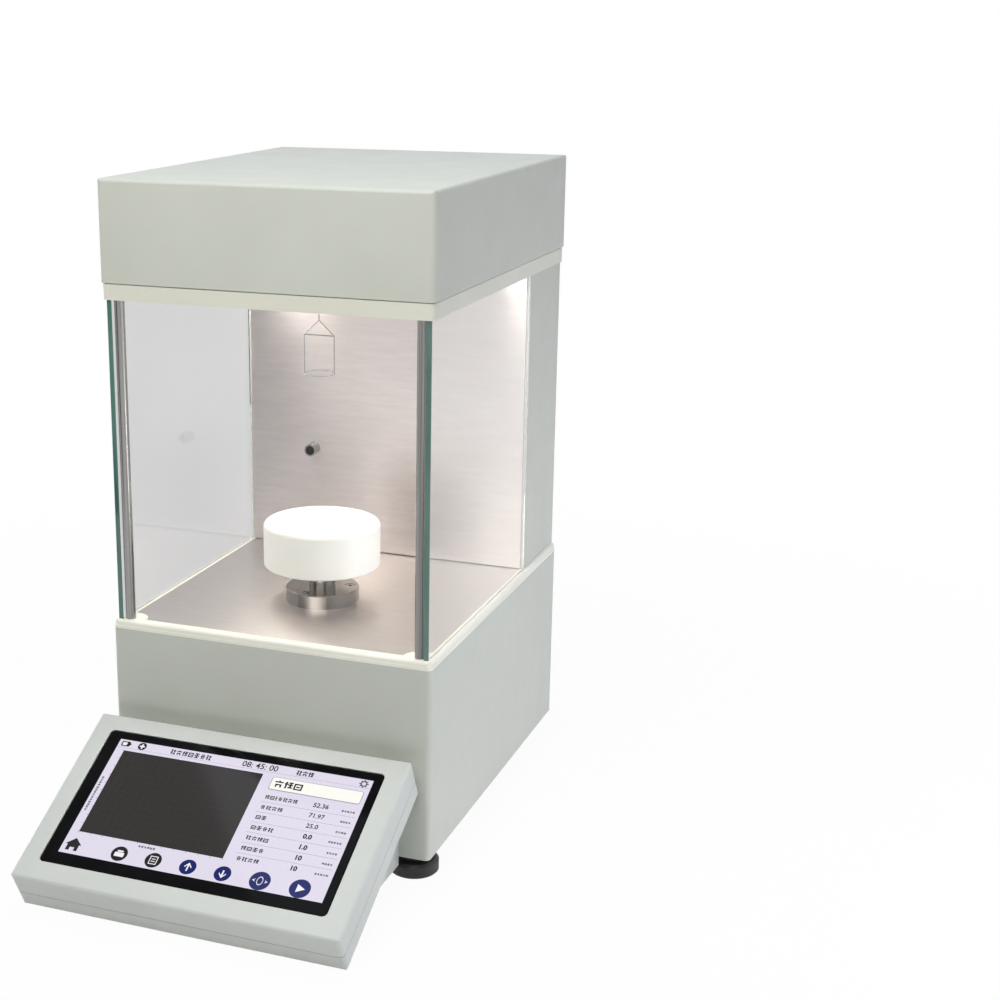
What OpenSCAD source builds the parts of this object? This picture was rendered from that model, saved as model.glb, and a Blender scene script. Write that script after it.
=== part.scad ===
// Surface tensiometer: a lit measuring chamber between a lift base and a sensor head,
// with a tilted touch console in front of the base. Millimetres, +Z up, front faces -Y.

/* [Housings] */
// Width of the base and of the head
body_w = 200; // [190:1:230]
// Depth of the base and of the head
body_d = 250; // [242:1:290]
// Height of the painted base walls
base_h = 115.5; // [112:0.5:140]
// Height of the painted head cover
head_h = 58; // [52:0.5:90]
// Thickness of the painted sheet
sheet_t = 1.5; // [1:0.1:2.2]
// Radius of the upright corners of the housings
corner_r = 3; // [2:0.5:5]
// Radius of the head cover's upper edges
edge_r = 2; // [1:0.5:2.5]
// Thickness of the plate that closes the base from below
base_plate_t = 2; // [1.5:0.5:3]
// Open seam between the head cover and the ceiling plate
head_seam = 0.6; // [0.3:0.1:1]

/* [Deck and ceiling] */
// Thickness of the deck plate
deck_t = 5.2; // [4.5:0.1:8]
// Radius of the deck's upper edge
deck_r = 2; // [1:0.5:2.5]
// Thickness of the ceiling plate
ceil_t = 9; // [8:0.5:14]
// How far the ceiling plate stands in from the head's walls
ceil_inset = 0.7; // [0.3:0.1:1.2]
// Height of the ceiling plate's step that centres the head cover
ceil_step_h = 4; // [2:0.5:6]
// Clear height of the chamber, deck to ceiling
chamber_h = 190.3; // [180:0.1:230]
// Thickness of the steel floor sheet
floor_t = 1; // [0.8:0.1:1.5]
// Width of deck left bare beside the floor sheet
floor_side = 7; // [6.5:0.5:9]
// Width of deck left bare in front of the floor sheet
floor_front = 6; // [5:0.5:8]
// Radius of the floor sheet's cut-out round each post
floor_relief_r = 10; // [8:0.5:14]
// Clearance round the floor sheet
floor_gap = 0.25; // [0.1:0.05:0.4]

/* [Posts and panes] */
// Diameter of the corner posts
post_d = 6; // [5:0.5:8]
// Gap between a post and the pane beside it
post_gap = 0.2; // [0.1:0.05:1]
// Distance of the posts' axes from the front wall
post_front = 6; // [5:0.5:9]
// Diameter of the tenons on the posts' ends
post_tenon_d = 4; // [3:0.5:4.5]
// Length of the tenons on the posts' ends
post_tenon_l = 3; // [2:0.5:3.5]
// Thickness of the glass panes
pane_t = 3; // [2:0.5:3]
// Distance of the panes' outer faces from the side walls
pane_side = 2.5; // [2:0.1:3]
// Distance of the panes' front edges from the front wall
pane_front = 2.5; // [2:0.5:5]
// Depth of the grooves that hold the panes
groove_d = 1.5; // [1:0.1:2.5]
// Clearance of a pane in its groove
groove_gap = 0.15; // [0.1:0.05:0.3]

/* [Column] */
// Depth of the rear column
col_d = 65.5; // [55:0.5:80]
// Distance of the column's sides from the side walls
col_side = 2.5; // [2:0.1:4]
// Distance of the column's back from the rear wall
col_back = 0.5; // [0.3:0.1:2]
// Width of the column's front flanges
col_flange = 14; // [12:1:20]
// Thickness of the brushed back panel
panel_t = 1.2; // [0.8:0.1:1.5]
// Distance of the back panel's edges from the side walls
panel_side = 6.9; // [6:0.1:9]
// Open joint between the back panel and the floor
panel_gap = 0.7; // [0.4:0.1:0.9]
// Height of the chamber sensor above the floor
probe_h = 67.5; // [50:0.5:120]
// Distance of the chamber sensor to the left of the middle
probe_x = 48.2; // [30:0.1:70]
// Outer diameter of the chamber sensor's sleeve
probe_d = 8; // [6:0.5:12]
// Diameter of the dark tip in the sleeve
probe_tip_d = 6; // [4:0.5:7]
// How far the sleeve stands out of the back panel
probe_l = 7.5; // [5:0.5:14]

/* [Stage] */
// Distance of the stage's axis from the front wall
stage_y = 82; // [76:1:96]
// Diameter of the sample table
table_d = 71; // [60:1:90]
// Height of the sample table
table_h = 27.5; // [20:0.5:35]
// Radius of the sample table's upper edge
table_r = 3; // [1:0.5:5]
// Diameter of the lift stem
stem_d = 16.5; // [12:0.5:18]
// Diameter of the stem's flange on the floor
flange_d = 45; // [38:1:60]
// Height of the stem's flange above the floor
flange_h = 8.4; // [6:0.1:12]
// Diameter of the flange's spigot
spigot_d = 24; // [22:0.5:26]
// Pitch circle of the flange screws
flange_pcd = 34; // [33:0.5:35]
// Gap left between the table and the flange when the stage is right down
low_gap = 1.7; // [1:0.1:4]
// How far the stage goes down from rest
lift_down = 12; // [8:1:12]
// How far the stage goes up from rest
lift_up = 28; // [20:1:28]

/* [Lift drive] */
// Distance of the lead screw behind the stage's axis
screw_back = 38; // [34:1:42]
// Diameter of the lead screw
screw_d = 8; // [6:1:8]
// Distance of each guide rod from the middle
rod_x = 38; // [36:1:44]
// Diameter of the guide rods
rod_d = 8; // [6:1:10]
// Outer diameter of the guide bushes
bush_d = 15; // [13:0.5:18]
// How far the guide bushes stand out below the carriage
bush_drop = 3.5; // [2:0.5:4]
// Thickness of the carriage
carriage_t = 10; // [8:0.5:10]
// Material left beside the carriage's outer bores
carriage_rim = 5; // [3:0.5:8]
// Diameter of the nut's flange
nut_flange_d = 22; // [18:1:26]
// Thickness of the nut's flange
nut_flange_t = 3.5; // [3:0.5:4]
// Diameter of the nut's body
nut_d = 10.5; // [10:0.1:13]
// Diameter of the guide rods' foot collars
rod_collar_d = 18; // [14:1:22]
// Height of the guide rods' foot collars
rod_collar_h = 6; // [4:0.5:8]
// Material left round the outer bores of the lift frame's top plate
top_rim = 12; // [8:1:16]
// Thickness of the lift frame's top plate
top_plate_t = 6; // [5:0.5:7]
// Side of the lift motor's square body
motor_w = 42.3; // [35:0.1:43]
// Height of the lift motor's body
motor_h = 24; // [20:0.5:26]
// Diameter of the motor's centring boss
motor_boss_d = 22; // [16:1:24]
// Diameter of the motor shaft
shaft_d = 5; // [4:0.5:6]
// Thickness of the motor bracket's plate
bracket_t = 4; // [3:0.5:5]
// Side of the motor bracket's plate
bracket_w = 60; // [56:1:62]
// Diameter of the motor bracket's legs
leg_d = 7; // [5:0.5:8]
// Outer diameter of the shaft coupling
coupling_d = 18; // [14:0.5:22]
// Length of the shaft coupling
coupling_l = 20; // [16:0.5:22]

/* [Feet] */
// Height of the feet, bench to base
foot_h = 13.5; // [12:0.5:18]
// Diameter of the feet's rims
foot_d = 29.2; // [24:0.2:32]
// Height of the feet's rims
foot_rim_h = 7; // [5:0.5:7]
// Diameter of the feet's necks
foot_neck_d = 20; // [16:0.5:22]
// Distance of the feet's axes from the walls
foot_in = 14.2; // [13:0.1:18]
// Distance of the rear feet's axes from the side walls
foot_rear_in = 27; // [24:0.5:32]
// Diameter of the feet's studs
stud_d = 8; // [6:1:10]
// Length of the feet's studs above the base plate
stud_l = 14; // [12:1:18]
// Diameter of the stud bushes
stud_bush_d = 14; // [13:0.5:18]
// Height of the stud bushes above the base plate
stud_bush_h = 10; // [8:1:12]

/* [Sensor head] */
// Length of the load cell
cell_l = 80; // [70:1:90]
// Side of the load cell's square section
cell_w = 12.7; // [12:0.1:16]
// Height of the block that carries the load cell
cell_block_h = 15; // [12:1:20]
// Length of that block
cell_block_l = 24; // [20:1:28]
// Diameter of the hanger's rod
hanger_d = 3; // [2:0.5:4]
// Diameter of the hanger's hook wire
hook_wire = 1.2; // [1:0.1:1.5]
// Bend radius of the hanger's hook
hook_r = 2.4; // [2:0.1:3]
// Distance of the hook's bend below the ceiling
hook_drop = 9; // [6:0.5:12]
// Diameter of the hole that the hanger passes
hanger_hole_d = 10; // [9:0.5:14]
// Width of a light bar
led_w = 12; // [8:1:14]
// Length of a light bar
led_l = 150; // [120:1:160]
// Thickness of a light bar
led_t = 3; // [2:0.5:4]
// Clearance between a light bar and the pane beside it
led_gap = 6.5; // [4:0.5:16]
// Width of the amplifier board
amp_w = 70; // [50:1:90]
// Depth of the amplifier board
amp_l = 40; // [30:1:45]

/* [Measuring ring] */
// Diameter of the ring, middle of its wire
ring_d = 19.1; // [15:0.1:24]
// Diameter of the ring's wire
ring_wire = 0.5; // [0.4:0.1:0.8]
// Diameter of the stirrup's wire
stirrup_wire = 0.6; // [0.5:0.1:0.8]
// Length of the stirrup's legs
leg_l = 22.7; // [16:0.1:30]
// Height of the stirrup's gable
gable_h = 8.9; // [6:0.1:12]
// Length of the shank above the gable
shank_l = 4.1; // [3:0.1:6]
// Side of the ring's square hook
ring_hook = 2.7; // [2.5:0.1:3.2]

/* [Console] */
// Width of the console
console_w = 196.8; // [190:0.2:200]
// Length of the console up its slope
console_l = 121.6; // [119:0.1:130]
// Thickness of the console's upper shell
upper_t = 14.4; // [13.5:0.1:16]
// Thickness of the console's lower shell
lower_t = 11.8; // [11:0.1:16]
// Seam between the console's two shells
console_seam = 0.4; // [0.2:0.1:0.6]
// Tilt of the console from the bench, in degrees
console_tilt = 27.25; // [24:0.25:30]
// How far the console's middle is left of the base's middle
console_x = 4.4; // [0:0.1:4.4]
// Radius of the console's edges
console_r = 2; // [1:0.5:2.5]
// Wall thickness of the console's shells
console_wall = 2.2; // [1.8:0.1:2.6]
// Clearance between the console's rear edge and the base
console_gap = 0.4; // [0.3:0.1:1]
// Width of the console's glass
touch_w = 172.6; // [168:0.2:178]
// Length of the console's glass
touch_l = 96.7; // [92:0.1:100]
// Thickness of the console's glass
touch_t = 1.8; // [1:0.1:2]
// Radius of the glass's corners
touch_r = 3; // [2:0.5:6]
// Clearance round the glass
touch_gap = 0.25; // [0.1:0.05:0.4]
// Width of the ledge that the glass lies on
touch_ledge = 3.6; // [2.5:0.1:4]
// Thickness of that ledge
ledge_t = 1.2; // [1:0.1:1.5]
// Width of the screen module
lcd_w = 168; // [166:0.5:180]
// Length of the screen module
lcd_l = 102; // [98:0.5:108]
// Thickness of the screen module
lcd_t = 5.6; // [4:0.1:6]
// Thickness of the console stand's sheet
stand_t = 2; // [1.5:0.5:3]
// Distance of the stand's cheeks from the console's ends
stand_in = 12.4; // [10:0.1:20]
// Height of the stand's lower edge above the bench
stand_lift = 8; // [7.8:0.1:12]
// Diameter of the pads under the console's front
pad_d = 12; // [8:1:14]
// Distance of those pads from the console's ends
pad_in = 28.4; // [20:0.2:40]
// Length of the console's circuit board
con_board_l = 78; // [60:1:84]

/* [Electronics] */
// Thickness of every circuit board
board_t = 1.6; // [1:0.1:2]
// Length of the power supply
psu_l = 110; // [98:1:118]
// Width of the power supply
psu_w = 32; // [26:1:33]
// Height of the power supply
psu_h = 60; // [50:1:70]
// Width of the main board
main_w = 110; // [100:1:115]
// Depth of the main board
main_l = 74; // [60:1:75]
// Height of the spacers under the boards
spacer_h = 8; // [6:0.5:10]
// Diameter of those spacers
spacer_d = 6; // [4:0.5:8]
// Distance of the power supply from the front wall
psu_front = 34; // [30:1:44]
// Width of the mains inlet's flange
inlet_w = 50; // [48:0.5:54]
// Height of the mains inlet's flange
inlet_h = 31; // [28:0.5:34]
// Depth of the mains inlet's body
inlet_d = 26; // [20:1:28]
// Width of the power switch's bezel
switch_w = 15; // [13:0.5:18]
// Height of the power switch's bezel
switch_h = 21; // [20:0.5:28]
// Throw of the power switch's rocker, in degrees
rocker_throw = 16; // [10:1:18]
// Thickness of the bezels and flanges on the rear wall
bezel_t = 2; // [1.5:0.5:3]
// Width of the data port's flange
port_w = 31; // [28:0.5:34]
// Height of the data port's flange
port_h = 12.5; // [10:0.5:14]
// How far the data port's shell stands out
port_out = 5.5; // [4:0.5:7]
// Width of the cable duct
duct_w = 25; // [16:1:32]
// Distance of the mains inlet's middle from the side wall
inlet_in = 38; // [34:1:42]
// Distance of the data port's middle from the side wall
port_in = 55; // [50:1:62]
// Height of the inlet's and the switch's middle above the base's lower edge
fitting_h = 34; // [30:0.5:60]
// Distance between the mains inlet and the power switch
fitting_gap = 11.5; // [8:0.5:14]

/* [Fits] */
// Radial running clearance of a shaft in its bore
run_gap = 0.05; // [0.02:0.01:0.08]
// Radial clearance of a fixed piece in its hole
fix_gap = 0.1; // [0.05:0.01:0.15]
// Clearance of a piece that drops into a cut-out
drop_gap = 0.2; // [0.1:0.05:0.3]
// Clearance between pieces that move past each other
move_gap = 0.3; // [0.2:0.05:0.5]

/* [Hidden] */

$fn = 48;
eps = 0.01;

// Colours as the object shows them
paint = [0.78, 0.80, 0.76];
ivory = [0.93, 0.92, 0.84];
steel = [0.74, 0.72, 0.70];
aluminium = [0.82, 0.83, 0.84];
black = [0.06, 0.06, 0.07];
board_green = [0.08, 0.32, 0.18];

// Levels from the bench upwards
z_plate = foot_h + base_plate_t;
z_base = foot_h + base_h;
z_deck = z_base + deck_t;
z_ceil = z_deck + chamber_h;
z_head = z_ceil + ceil_t;
z_wall = z_head + head_seam;
z_flange = z_deck + flange_h;
z_table = z_flange + low_gap + lift_down;
z_lift_plate = z_base - sheet_t - top_plate_t;
end_stop = 1.5;
run_up = lift_up + end_stop;
z_carriage = z_lift_plate - run_up - carriage_t;
z_bracket = z_plate + motor_h;
motor_boss_h = 2;
z_coupling = z_bracket + bracket_t + motor_boss_h;

// Places in plan
half_w = body_w / 2;
col_front = body_d - col_back - col_d;
screw_y = stage_y + screw_back;
rod_y = stage_y + screw_back / 2;
pane_x = half_w - pane_side - pane_t / 2;
post_x = pane_x - pane_t / 2 - post_gap - post_d / 2;
led_x = pane_x - pane_t / 2 - led_gap - led_w / 2;
foot_x = half_w - foot_in;
foot_rear_x = half_w - foot_rear_in;
foot_places = [[-foot_x, foot_in], [foot_x, foot_in],
    [-foot_rear_x, body_d - foot_in], [foot_rear_x, body_d - foot_in]];
deck_step = 0.4;
deck_lip_h = 1.8;

// Console, in its own slope frame: b runs up the slope, c rises from its underside
console_t = upper_t + lower_t;
con_cos = cos(console_tilt);
con_sin = sin(console_tilt);
con_round = console_r * (con_cos + con_sin - 1);
con_y = -console_gap - console_l * con_cos + con_round;
stand_x = console_w / 2 - stand_in;

// The whole object's box, which sets the origin
x_low = min(-console_x - console_w / 2, -foot_x - foot_d / 2);
x_high = foot_x + foot_d / 2;
y_low = con_y - console_t * con_sin + con_round;
rocker_r = 9;
rocker_corner = 74;
y_high = body_d + max(rocker_r * cos(rocker_corner - rocker_throw / 2), port_out);
x_mid = (x_low + x_high) / 2;
y_mid = (y_low + y_high) / 2;

// ---- shared shapes ----

module at_origin() {
    translate([-x_mid, -y_mid, 0]) children();
}

// Rectangle with round corners, centred in x, its near edge on y = 0
module round_rect(w, d, r) {
    translate([r - w / 2, 0]) square([w - 2 * r, d]);
    translate([-w / 2, r]) square([w, d - 2 * r]);
    for (x = [-1, 1], y = [r, d - r]) translate([x * (w / 2 - r), y]) circle(r);
}

// Plate with round upright corners and a round upper edge
module soft_block(w, d, h, r_side, r_top) {
    intersection() {
        linear_extrude(h) round_rect(w, d, r_side);
        translate([0, d + eps, 0]) rotate([90, 0, 0]) linear_extrude(d + 2 * eps)
            top_round(w, h, r_top);
        translate([-w / 2 - eps, d / 2, 0]) rotate([90, 0, 90]) linear_extrude(w + 2 * eps)
            top_round(d, h, r_top);
    }
}

// Upright rectangle whose two upper corners are round, centred in x
module top_round(w, h, r) {
    translate([-w / 2, 0]) square([w, h - r]);
    translate([r - w / 2, 0]) square([w - 2 * r, h]);
    for (x = [-1, 1]) translate([x * (w / 2 - r), h - r]) circle(r);
}

// Block whose edges are all round, centred in x
module round_block(w, l, t, r) {
    intersection() {
        linear_extrude(t) round_rect(w, l, r + 1);
        translate([0, l + eps, 0]) rotate([90, 0, 0]) linear_extrude(l + 2 * eps)
            round_rect(w, t, r);
        translate([-w / 2 - eps, l / 2, 0]) rotate([90, 0, 90]) linear_extrude(w + 2 * eps)
            round_rect(l, t, r);
    }
}

module box(w, d, h) {
    translate([-w / 2, 0, 0]) cube([w, d, h]);
}

module centred_box(w, d, h) {
    translate([-w / 2, -d / 2, 0]) cube([w, d, h]);
}

module at_stage(z) {
    translate([0, stage_y, z]) children();
}

module at_screw(z) {
    translate([0, screw_y, z]) children();
}

module each_rod(z) {
    for (x = [-rod_x, rod_x]) translate([x, rod_y, z]) children();
}

module each_foot(z) {
    for (p = foot_places) translate([p[0], p[1], z]) children();
}

module each_flange_screw(z) {
    for (a = [0:120:240])
        at_stage(z) rotate(flange_turn + a) translate([flange_pcd / 2, 0, 0]) children();
}

// Puts a slope-frame shape in its place in front of the base
module on_slope() {
    translate([-console_x, con_y, 0]) rotate([console_tilt, 0, 0]) children();
}

// Straight wire between two points
module wire(from, to, d) {
    v = to - from;
    l = norm(v);
    translate(from) rotate([0, acos(v[2] / l), atan2(v[1], v[0])]) cylinder(h = l, d = d, $fn = 16);
}

// ---- housings ----

rear_z = foot_h + fitting_h;
port_z = z_plate + spacer_h + board_t + port_h / 2;
inlet_x = inlet_in - half_w;
switch_x = inlet_x + (inlet_w + switch_w) / 2 + fitting_gap;
port_x = half_w - port_in;
vent_n = 12;
vent_w = 2.4;
vent_pitch = 6;
vent_h = 24;
vent_drop = 21;
vent_in = 16;

module rear_cutouts(gap) {
    translate([inlet_x, body_d, rear_z]) inlet_body(gap);
    translate([switch_x, body_d, rear_z]) switch_body(gap);
    translate([port_x, body_d, port_z]) port_body(gap);
}

module vent_slots() {
    for (i = [0:vent_n - 1])
        translate([half_w - vent_in - i * vent_pitch, body_d - sheet_t - eps,
            z_base - vent_drop - vent_h])
        cube([vent_w, sheet_t + 2 * eps, vent_h]);
}

// Folded cover with screw tabs inside its side walls
module base_cover() color(paint) difference() {
    union() {
        difference() {
            translate([0, 0, foot_h]) linear_extrude(base_h)
                round_rect(body_w, body_d, corner_r);
            translate([0, sheet_t, foot_h - eps])
                box(body_w - 2 * sheet_t, body_d - 2 * sheet_t, base_h - sheet_t + eps);
        }
        each_tab(z_plate) centred_box(tab_w + sheet_t, tab_l, tab_h);
    }
    each_cover_screw(z_plate - eps) cylinder(h = tab_h, d = cover_screw_d + 2 * run_gap);
    at_stage(z_base - sheet_t - eps) cylinder(h = sheet_t + 2 * eps, d = spigot_d + 2 * fix_gap);
    translate([0, cable_y, z_base - sheet_t - eps]) cable_slot(sheet_t + 2 * eps);
    translate([-console_x, -eps, stand_cable_z]) rotate([-90, 0, 0])
        cylinder(h = sheet_t + 2 * eps, d = stand_cable_d);
    rear_cutouts(drop_gap);
    vent_slots();
}

cable_y = col_front + col_d * 0.62;
cable_w = 60;
cable_slot_l = 16;
tab_w = 10;
tab_l = 16;
tab_h = 6;
tab_x = half_w - sheet_t - tab_w;
tab_in = 40;
tab_ys = [tab_in, body_d / 2, body_d - tab_in];
cover_screw_d = 3;
cover_head_d = 6;
cover_head_h = 1.6;

module cable_slot(h) {
    translate([0, -cable_slot_l / 2, 0]) box(cable_w, cable_slot_l, h);
}

module base_plate() color(steel) difference() {
    translate([0, sheet_t + drop_gap, foot_h])
        box(body_w - 2 * (sheet_t + drop_gap), body_d - 2 * (sheet_t + drop_gap), base_plate_t);
    each_foot(foot_h - eps) cylinder(h = base_plate_t + 2 * eps, d = stud_d + 2 * run_gap);
    for (i = [0:intake_n - 1])
        translate([(i - (intake_n - 1) / 2) * intake_pitch, intake_y, foot_h - eps])
        box(intake_w, intake_l, base_plate_t + 2 * eps);
    each_cover_screw(foot_h - eps)
        cylinder(h = base_plate_t + 2 * eps, d = cover_screw_d + 2 * drop_gap);
}

intake_n = 10;
intake_pitch = 7;
intake_w = 3;
intake_l = 30;
intake_y = 24;

module each_tab(z) {
    for (x = [-1, 1], y = tab_ys)
        translate([x * (tab_x + (tab_w + sheet_t) / 2), y, z]) children();
}

module each_cover_screw(z) {
    for (x = [-1, 1], y = tab_ys)
        translate([x * (tab_x + tab_w / 2), y, z]) children();
}

// Pan-head screws that hold the base plate to the cover's tabs
module base_screws() color(steel) each_cover_screw(foot_h - cover_head_h) {
    cylinder(h = cover_head_h, d = cover_head_d);
    cylinder(h = cover_head_h + base_plate_t + tab_h - 2, d = cover_screw_d);
}

module deck_plate() color(ivory) difference() {
    union() {
        translate([0, 0, z_base]) linear_extrude(deck_lip_h) round_rect(body_w, body_d, corner_r);
        translate([0, deck_step, z_base])
            soft_block(body_w - 2 * deck_step, body_d - 2 * deck_step, deck_t, corner_r, deck_r);
    }
    translate([0, 0, z_deck - floor_t]) linear_extrude(floor_t + eps) floor_outline(0);
    for (s = [-1, 1]) translate([s * pane_x, 0, z_deck - groove_d]) pane_groove(groove_d + eps);
    for (x = [-post_x, post_x]) translate([x, post_front, z_deck - post_tenon_l])
        cylinder(h = post_tenon_l + eps, d = post_tenon_d + 2 * fix_gap);
    at_stage(z_base - eps) cylinder(h = deck_t + 2 * eps, d = spigot_d + 2 * fix_gap);
    translate([0, cable_y, z_base - eps]) cable_slot(deck_t + 2 * eps);
    each_flange_screw(z_base - eps) cylinder(h = deck_t, d = flange_screw_d + 2 * fix_gap);
}

module pane_groove(h) {
    translate([-pane_t / 2 - groove_gap, pane_front - groove_gap, 0])
        cube([pane_t + 2 * groove_gap, pane_l + 2 * groove_gap, h]);
}

pane_l = col_front - pane_front - 0.3;

// Outline of the floor sheet: square behind, with a round cut-out at each post
module floor_outline(gap) {
    difference() {
        translate([-half_w + floor_side + gap, floor_front + gap])
            square([body_w - 2 * (floor_side + gap), col_front - floor_front - 2 * gap]);
        for (x = [-post_x, post_x]) translate([x, post_front]) circle(floor_relief_r + gap);
    }
}

module chamber_floor() color(steel) difference() {
    translate([0, 0, z_deck - floor_t]) linear_extrude(floor_t) floor_outline(floor_gap);
    at_stage(z_deck - floor_t - eps) cylinder(h = floor_t + 2 * eps, d = spigot_d + 2 * fix_gap);
    each_flange_screw(z_deck - floor_t - eps)
        cylinder(h = floor_t + 2 * eps, d = flange_screw_d + 2 * move_gap);
}

module ceiling_plate() color(ivory) difference() {
    union() {
        translate([0, ceil_inset, z_ceil]) linear_extrude(ceil_t)
            round_rect(body_w - 2 * ceil_inset, body_d - 2 * ceil_inset, corner_r);
        translate([0, ceil_step, z_head]) linear_extrude(ceil_step_h)
            round_rect(body_w - 2 * ceil_step, body_d - 2 * ceil_step, corner_r);
    }
    for (s = [-1, 1]) translate([s * pane_x, 0, z_ceil - eps]) pane_groove(groove_d + eps);
    for (x = [-post_x, post_x]) translate([x, post_front, z_ceil - eps])
        cylinder(h = post_tenon_l + eps, d = post_tenon_d + 2 * fix_gap);
    for (s = [-1, 1]) translate([s * led_x, led_y - drop_gap, z_ceil - eps])
        box(led_w + 2 * drop_gap, led_l + 2 * drop_gap, led_t + eps);
    at_stage(z_ceil - eps) cylinder(h = ceil_t + ceil_step_h + 2 * eps, d = hanger_hole_d);
    translate([0, cable_y, z_ceil - eps]) cable_slot(ceil_t + ceil_step_h + 2 * eps);
}

ceil_step = sheet_t + drop_gap;
led_y = (col_front - led_l) / 2 + 6;

// Deep folded lid that stands on the ceiling plate's step with a seat in each corner
module head_cover() color(paint) {
    difference() {
        translate([0, 0, z_wall]) soft_block(body_w, body_d, head_h, corner_r, edge_r);
        translate([0, sheet_t, z_wall - eps])
            box(body_w - 2 * sheet_t, body_d - 2 * sheet_t, head_h - sheet_t + eps);
    }
    for (x = [-1, 1], y = [sheet_t - eps, body_d - sheet_t + eps - seat_w])
        translate([x * (half_w - sheet_t + eps - seat_w / 2), y, z_head + ceil_step_h])
            box(seat_w, seat_w, seat_h);
}

seat_w = 14;
seat_h = 8;

// ---- column ----

col_w = body_w - 2 * col_side;

module column_shell() color(paint) translate([0, col_front, z_deck]) difference() {
    box(col_w, col_d, chamber_h);
    translate([0, sheet_t, -eps])
        box(col_w - 2 * sheet_t, col_d - 2 * sheet_t, chamber_h + 2 * eps);
    translate([0, -eps, -eps])
        box(col_w - 2 * col_flange, sheet_t + 2 * eps, chamber_h + 2 * eps);
}

module back_panel() color(steel) difference() {
    translate([0, col_front - panel_t, z_deck + panel_gap])
        box(body_w - 2 * panel_side, panel_t, chamber_h - panel_gap);
    at_probe(-eps) cylinder(h = panel_t + 2 * eps, d = probe_d + 2 * fix_gap);
}

// The chamber sensor's axis, pointing out of the back panel
module at_probe(out) {
    translate([-probe_x, col_front + out, z_deck + probe_h]) rotate([90, 0, 0]) children();
}

probe_back = 12;
probe_nut_h = 3;
probe_nut_d = probe_d + 6;
sleeve_l = probe_back + panel_t + probe_l;

module probe_sleeve() color(steel) at_probe(probe_back) difference() {
    union() {
        cylinder(h = sleeve_l, d = probe_d);
        translate([0, 0, probe_back - probe_nut_h])
            cylinder(h = probe_nut_h, d = probe_nut_d, $fn = 6);
    }
    translate([0, 0, -eps]) cylinder(h = sleeve_l + 2 * eps, d = probe_tip_d);
}

module probe_tip() color(black) at_probe(probe_back)
    cylinder(h = sleeve_l - move_gap, d = probe_tip_d - 2 * run_gap);

module post(x) color(steel) translate([x, post_front, 0]) {
    translate([0, 0, z_deck]) cylinder(h = chamber_h, d = post_d);
    translate([0, 0, z_deck - post_tenon_l])
        cylinder(h = chamber_h + 2 * post_tenon_l, d = post_tenon_d);
}

module pane(x) color([0.7, 0.85, 0.82, 0.4])
    translate([x - pane_t / 2, pane_front, z_deck - groove_d])
        cube([pane_t, pane_l, chamber_h + 2 * groove_d]);

module post_left() post(-post_x);
module post_right() post(post_x);
module glass_left() pane(-pane_x);
module glass_right() pane(pane_x);

// ---- feet ----

// One turned foot: rim, sloping shoulder and neck, with its stud
module foot(p) color(black) translate([p[0], p[1], 0]) rotate_extrude() polygon([
    [0, 0], [foot_d / 2 - 1, 0], [foot_d / 2, 1], [foot_d / 2, foot_rim_h],
    [foot_d / 2 - foot_slope, foot_rim_h + foot_slope],
    [foot_neck_d / 2, foot_rim_h + foot_shoulder],
    [foot_neck_d / 2, foot_h - move_gap], [stud_d / 2, foot_h - move_gap],
    [stud_d / 2, z_plate + stud_l - 1], [stud_d / 2 - 1, z_plate + stud_l], [0, z_plate + stud_l]]);

foot_slope = 1.6;
foot_shoulder = 2.8;

module foot_front_left() foot(foot_places[0]);
module foot_front_right() foot(foot_places[1]);
module foot_rear_left() foot(foot_places[2]);
module foot_rear_right() foot(foot_places[3]);

module stud_bushes() color(steel) each_foot(z_plate) difference() {
    cylinder(h = stud_bush_h, d = stud_bush_d);
    translate([0, 0, -eps]) cylinder(h = stud_bush_h + 2 * eps, d = stud_d + 2 * run_gap);
}

// ---- stage and lift ----

stem_in_table = 10;
bush_l = bush_drop + carriage_t;

module sample_table() color([0.97, 0.97, 0.95]) at_stage(z_table) difference() {
    rotate_extrude() {
        square([table_d / 2 - table_r, table_h]);
        translate([0, 1]) square([table_d / 2, table_h - table_r - 1]);
        polygon([[0, 0], [table_d / 2 - 1, 0], [table_d / 2, 1], [0, 1]]);
        translate([table_d / 2 - table_r, table_h - table_r]) intersection() {
            circle(table_r);
            square(table_r);
        }
    }
    translate([0, 0, -eps]) cylinder(h = stem_in_table + eps, d = stem_d + 2 * fix_gap);
}

module lift_stem() color(steel) at_stage(z_carriage)
    cylinder(h = z_table + stem_in_table - z_carriage, d = stem_d);

module stem_flange() color(steel) difference() {
    at_stage(0) {
        translate([0, 0, z_deck]) cylinder(h = flange_h - flange_arris, d = flange_d);
        translate([0, 0, z_flange - flange_arris])
            cylinder(h = flange_arris, d1 = flange_d, d2 = flange_d - 2 * flange_arris);
        translate([0, 0, z_lift_plate]) cylinder(h = z_flange - z_lift_plate, d = spigot_d);
    }
    at_stage(z_lift_plate - eps)
        cylinder(h = z_flange - z_lift_plate + 2 * eps, d = stem_d + 2 * run_gap);
    each_flange_screw(z_flange - flange_sink)
        cylinder(h = flange_sink + eps, d = flange_head_d + 2 * drop_gap);
    each_flange_screw(z_deck - eps) cylinder(h = flange_h, d = flange_screw_d + 2 * drop_gap);
}

flange_turn = 22;
flange_arris = 0.6;
flange_screw_d = 3;
flange_head_d = 6;
flange_head_h = 1.8;
flange_sink = 2;
flange_hex_d = 2.8;

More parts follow.
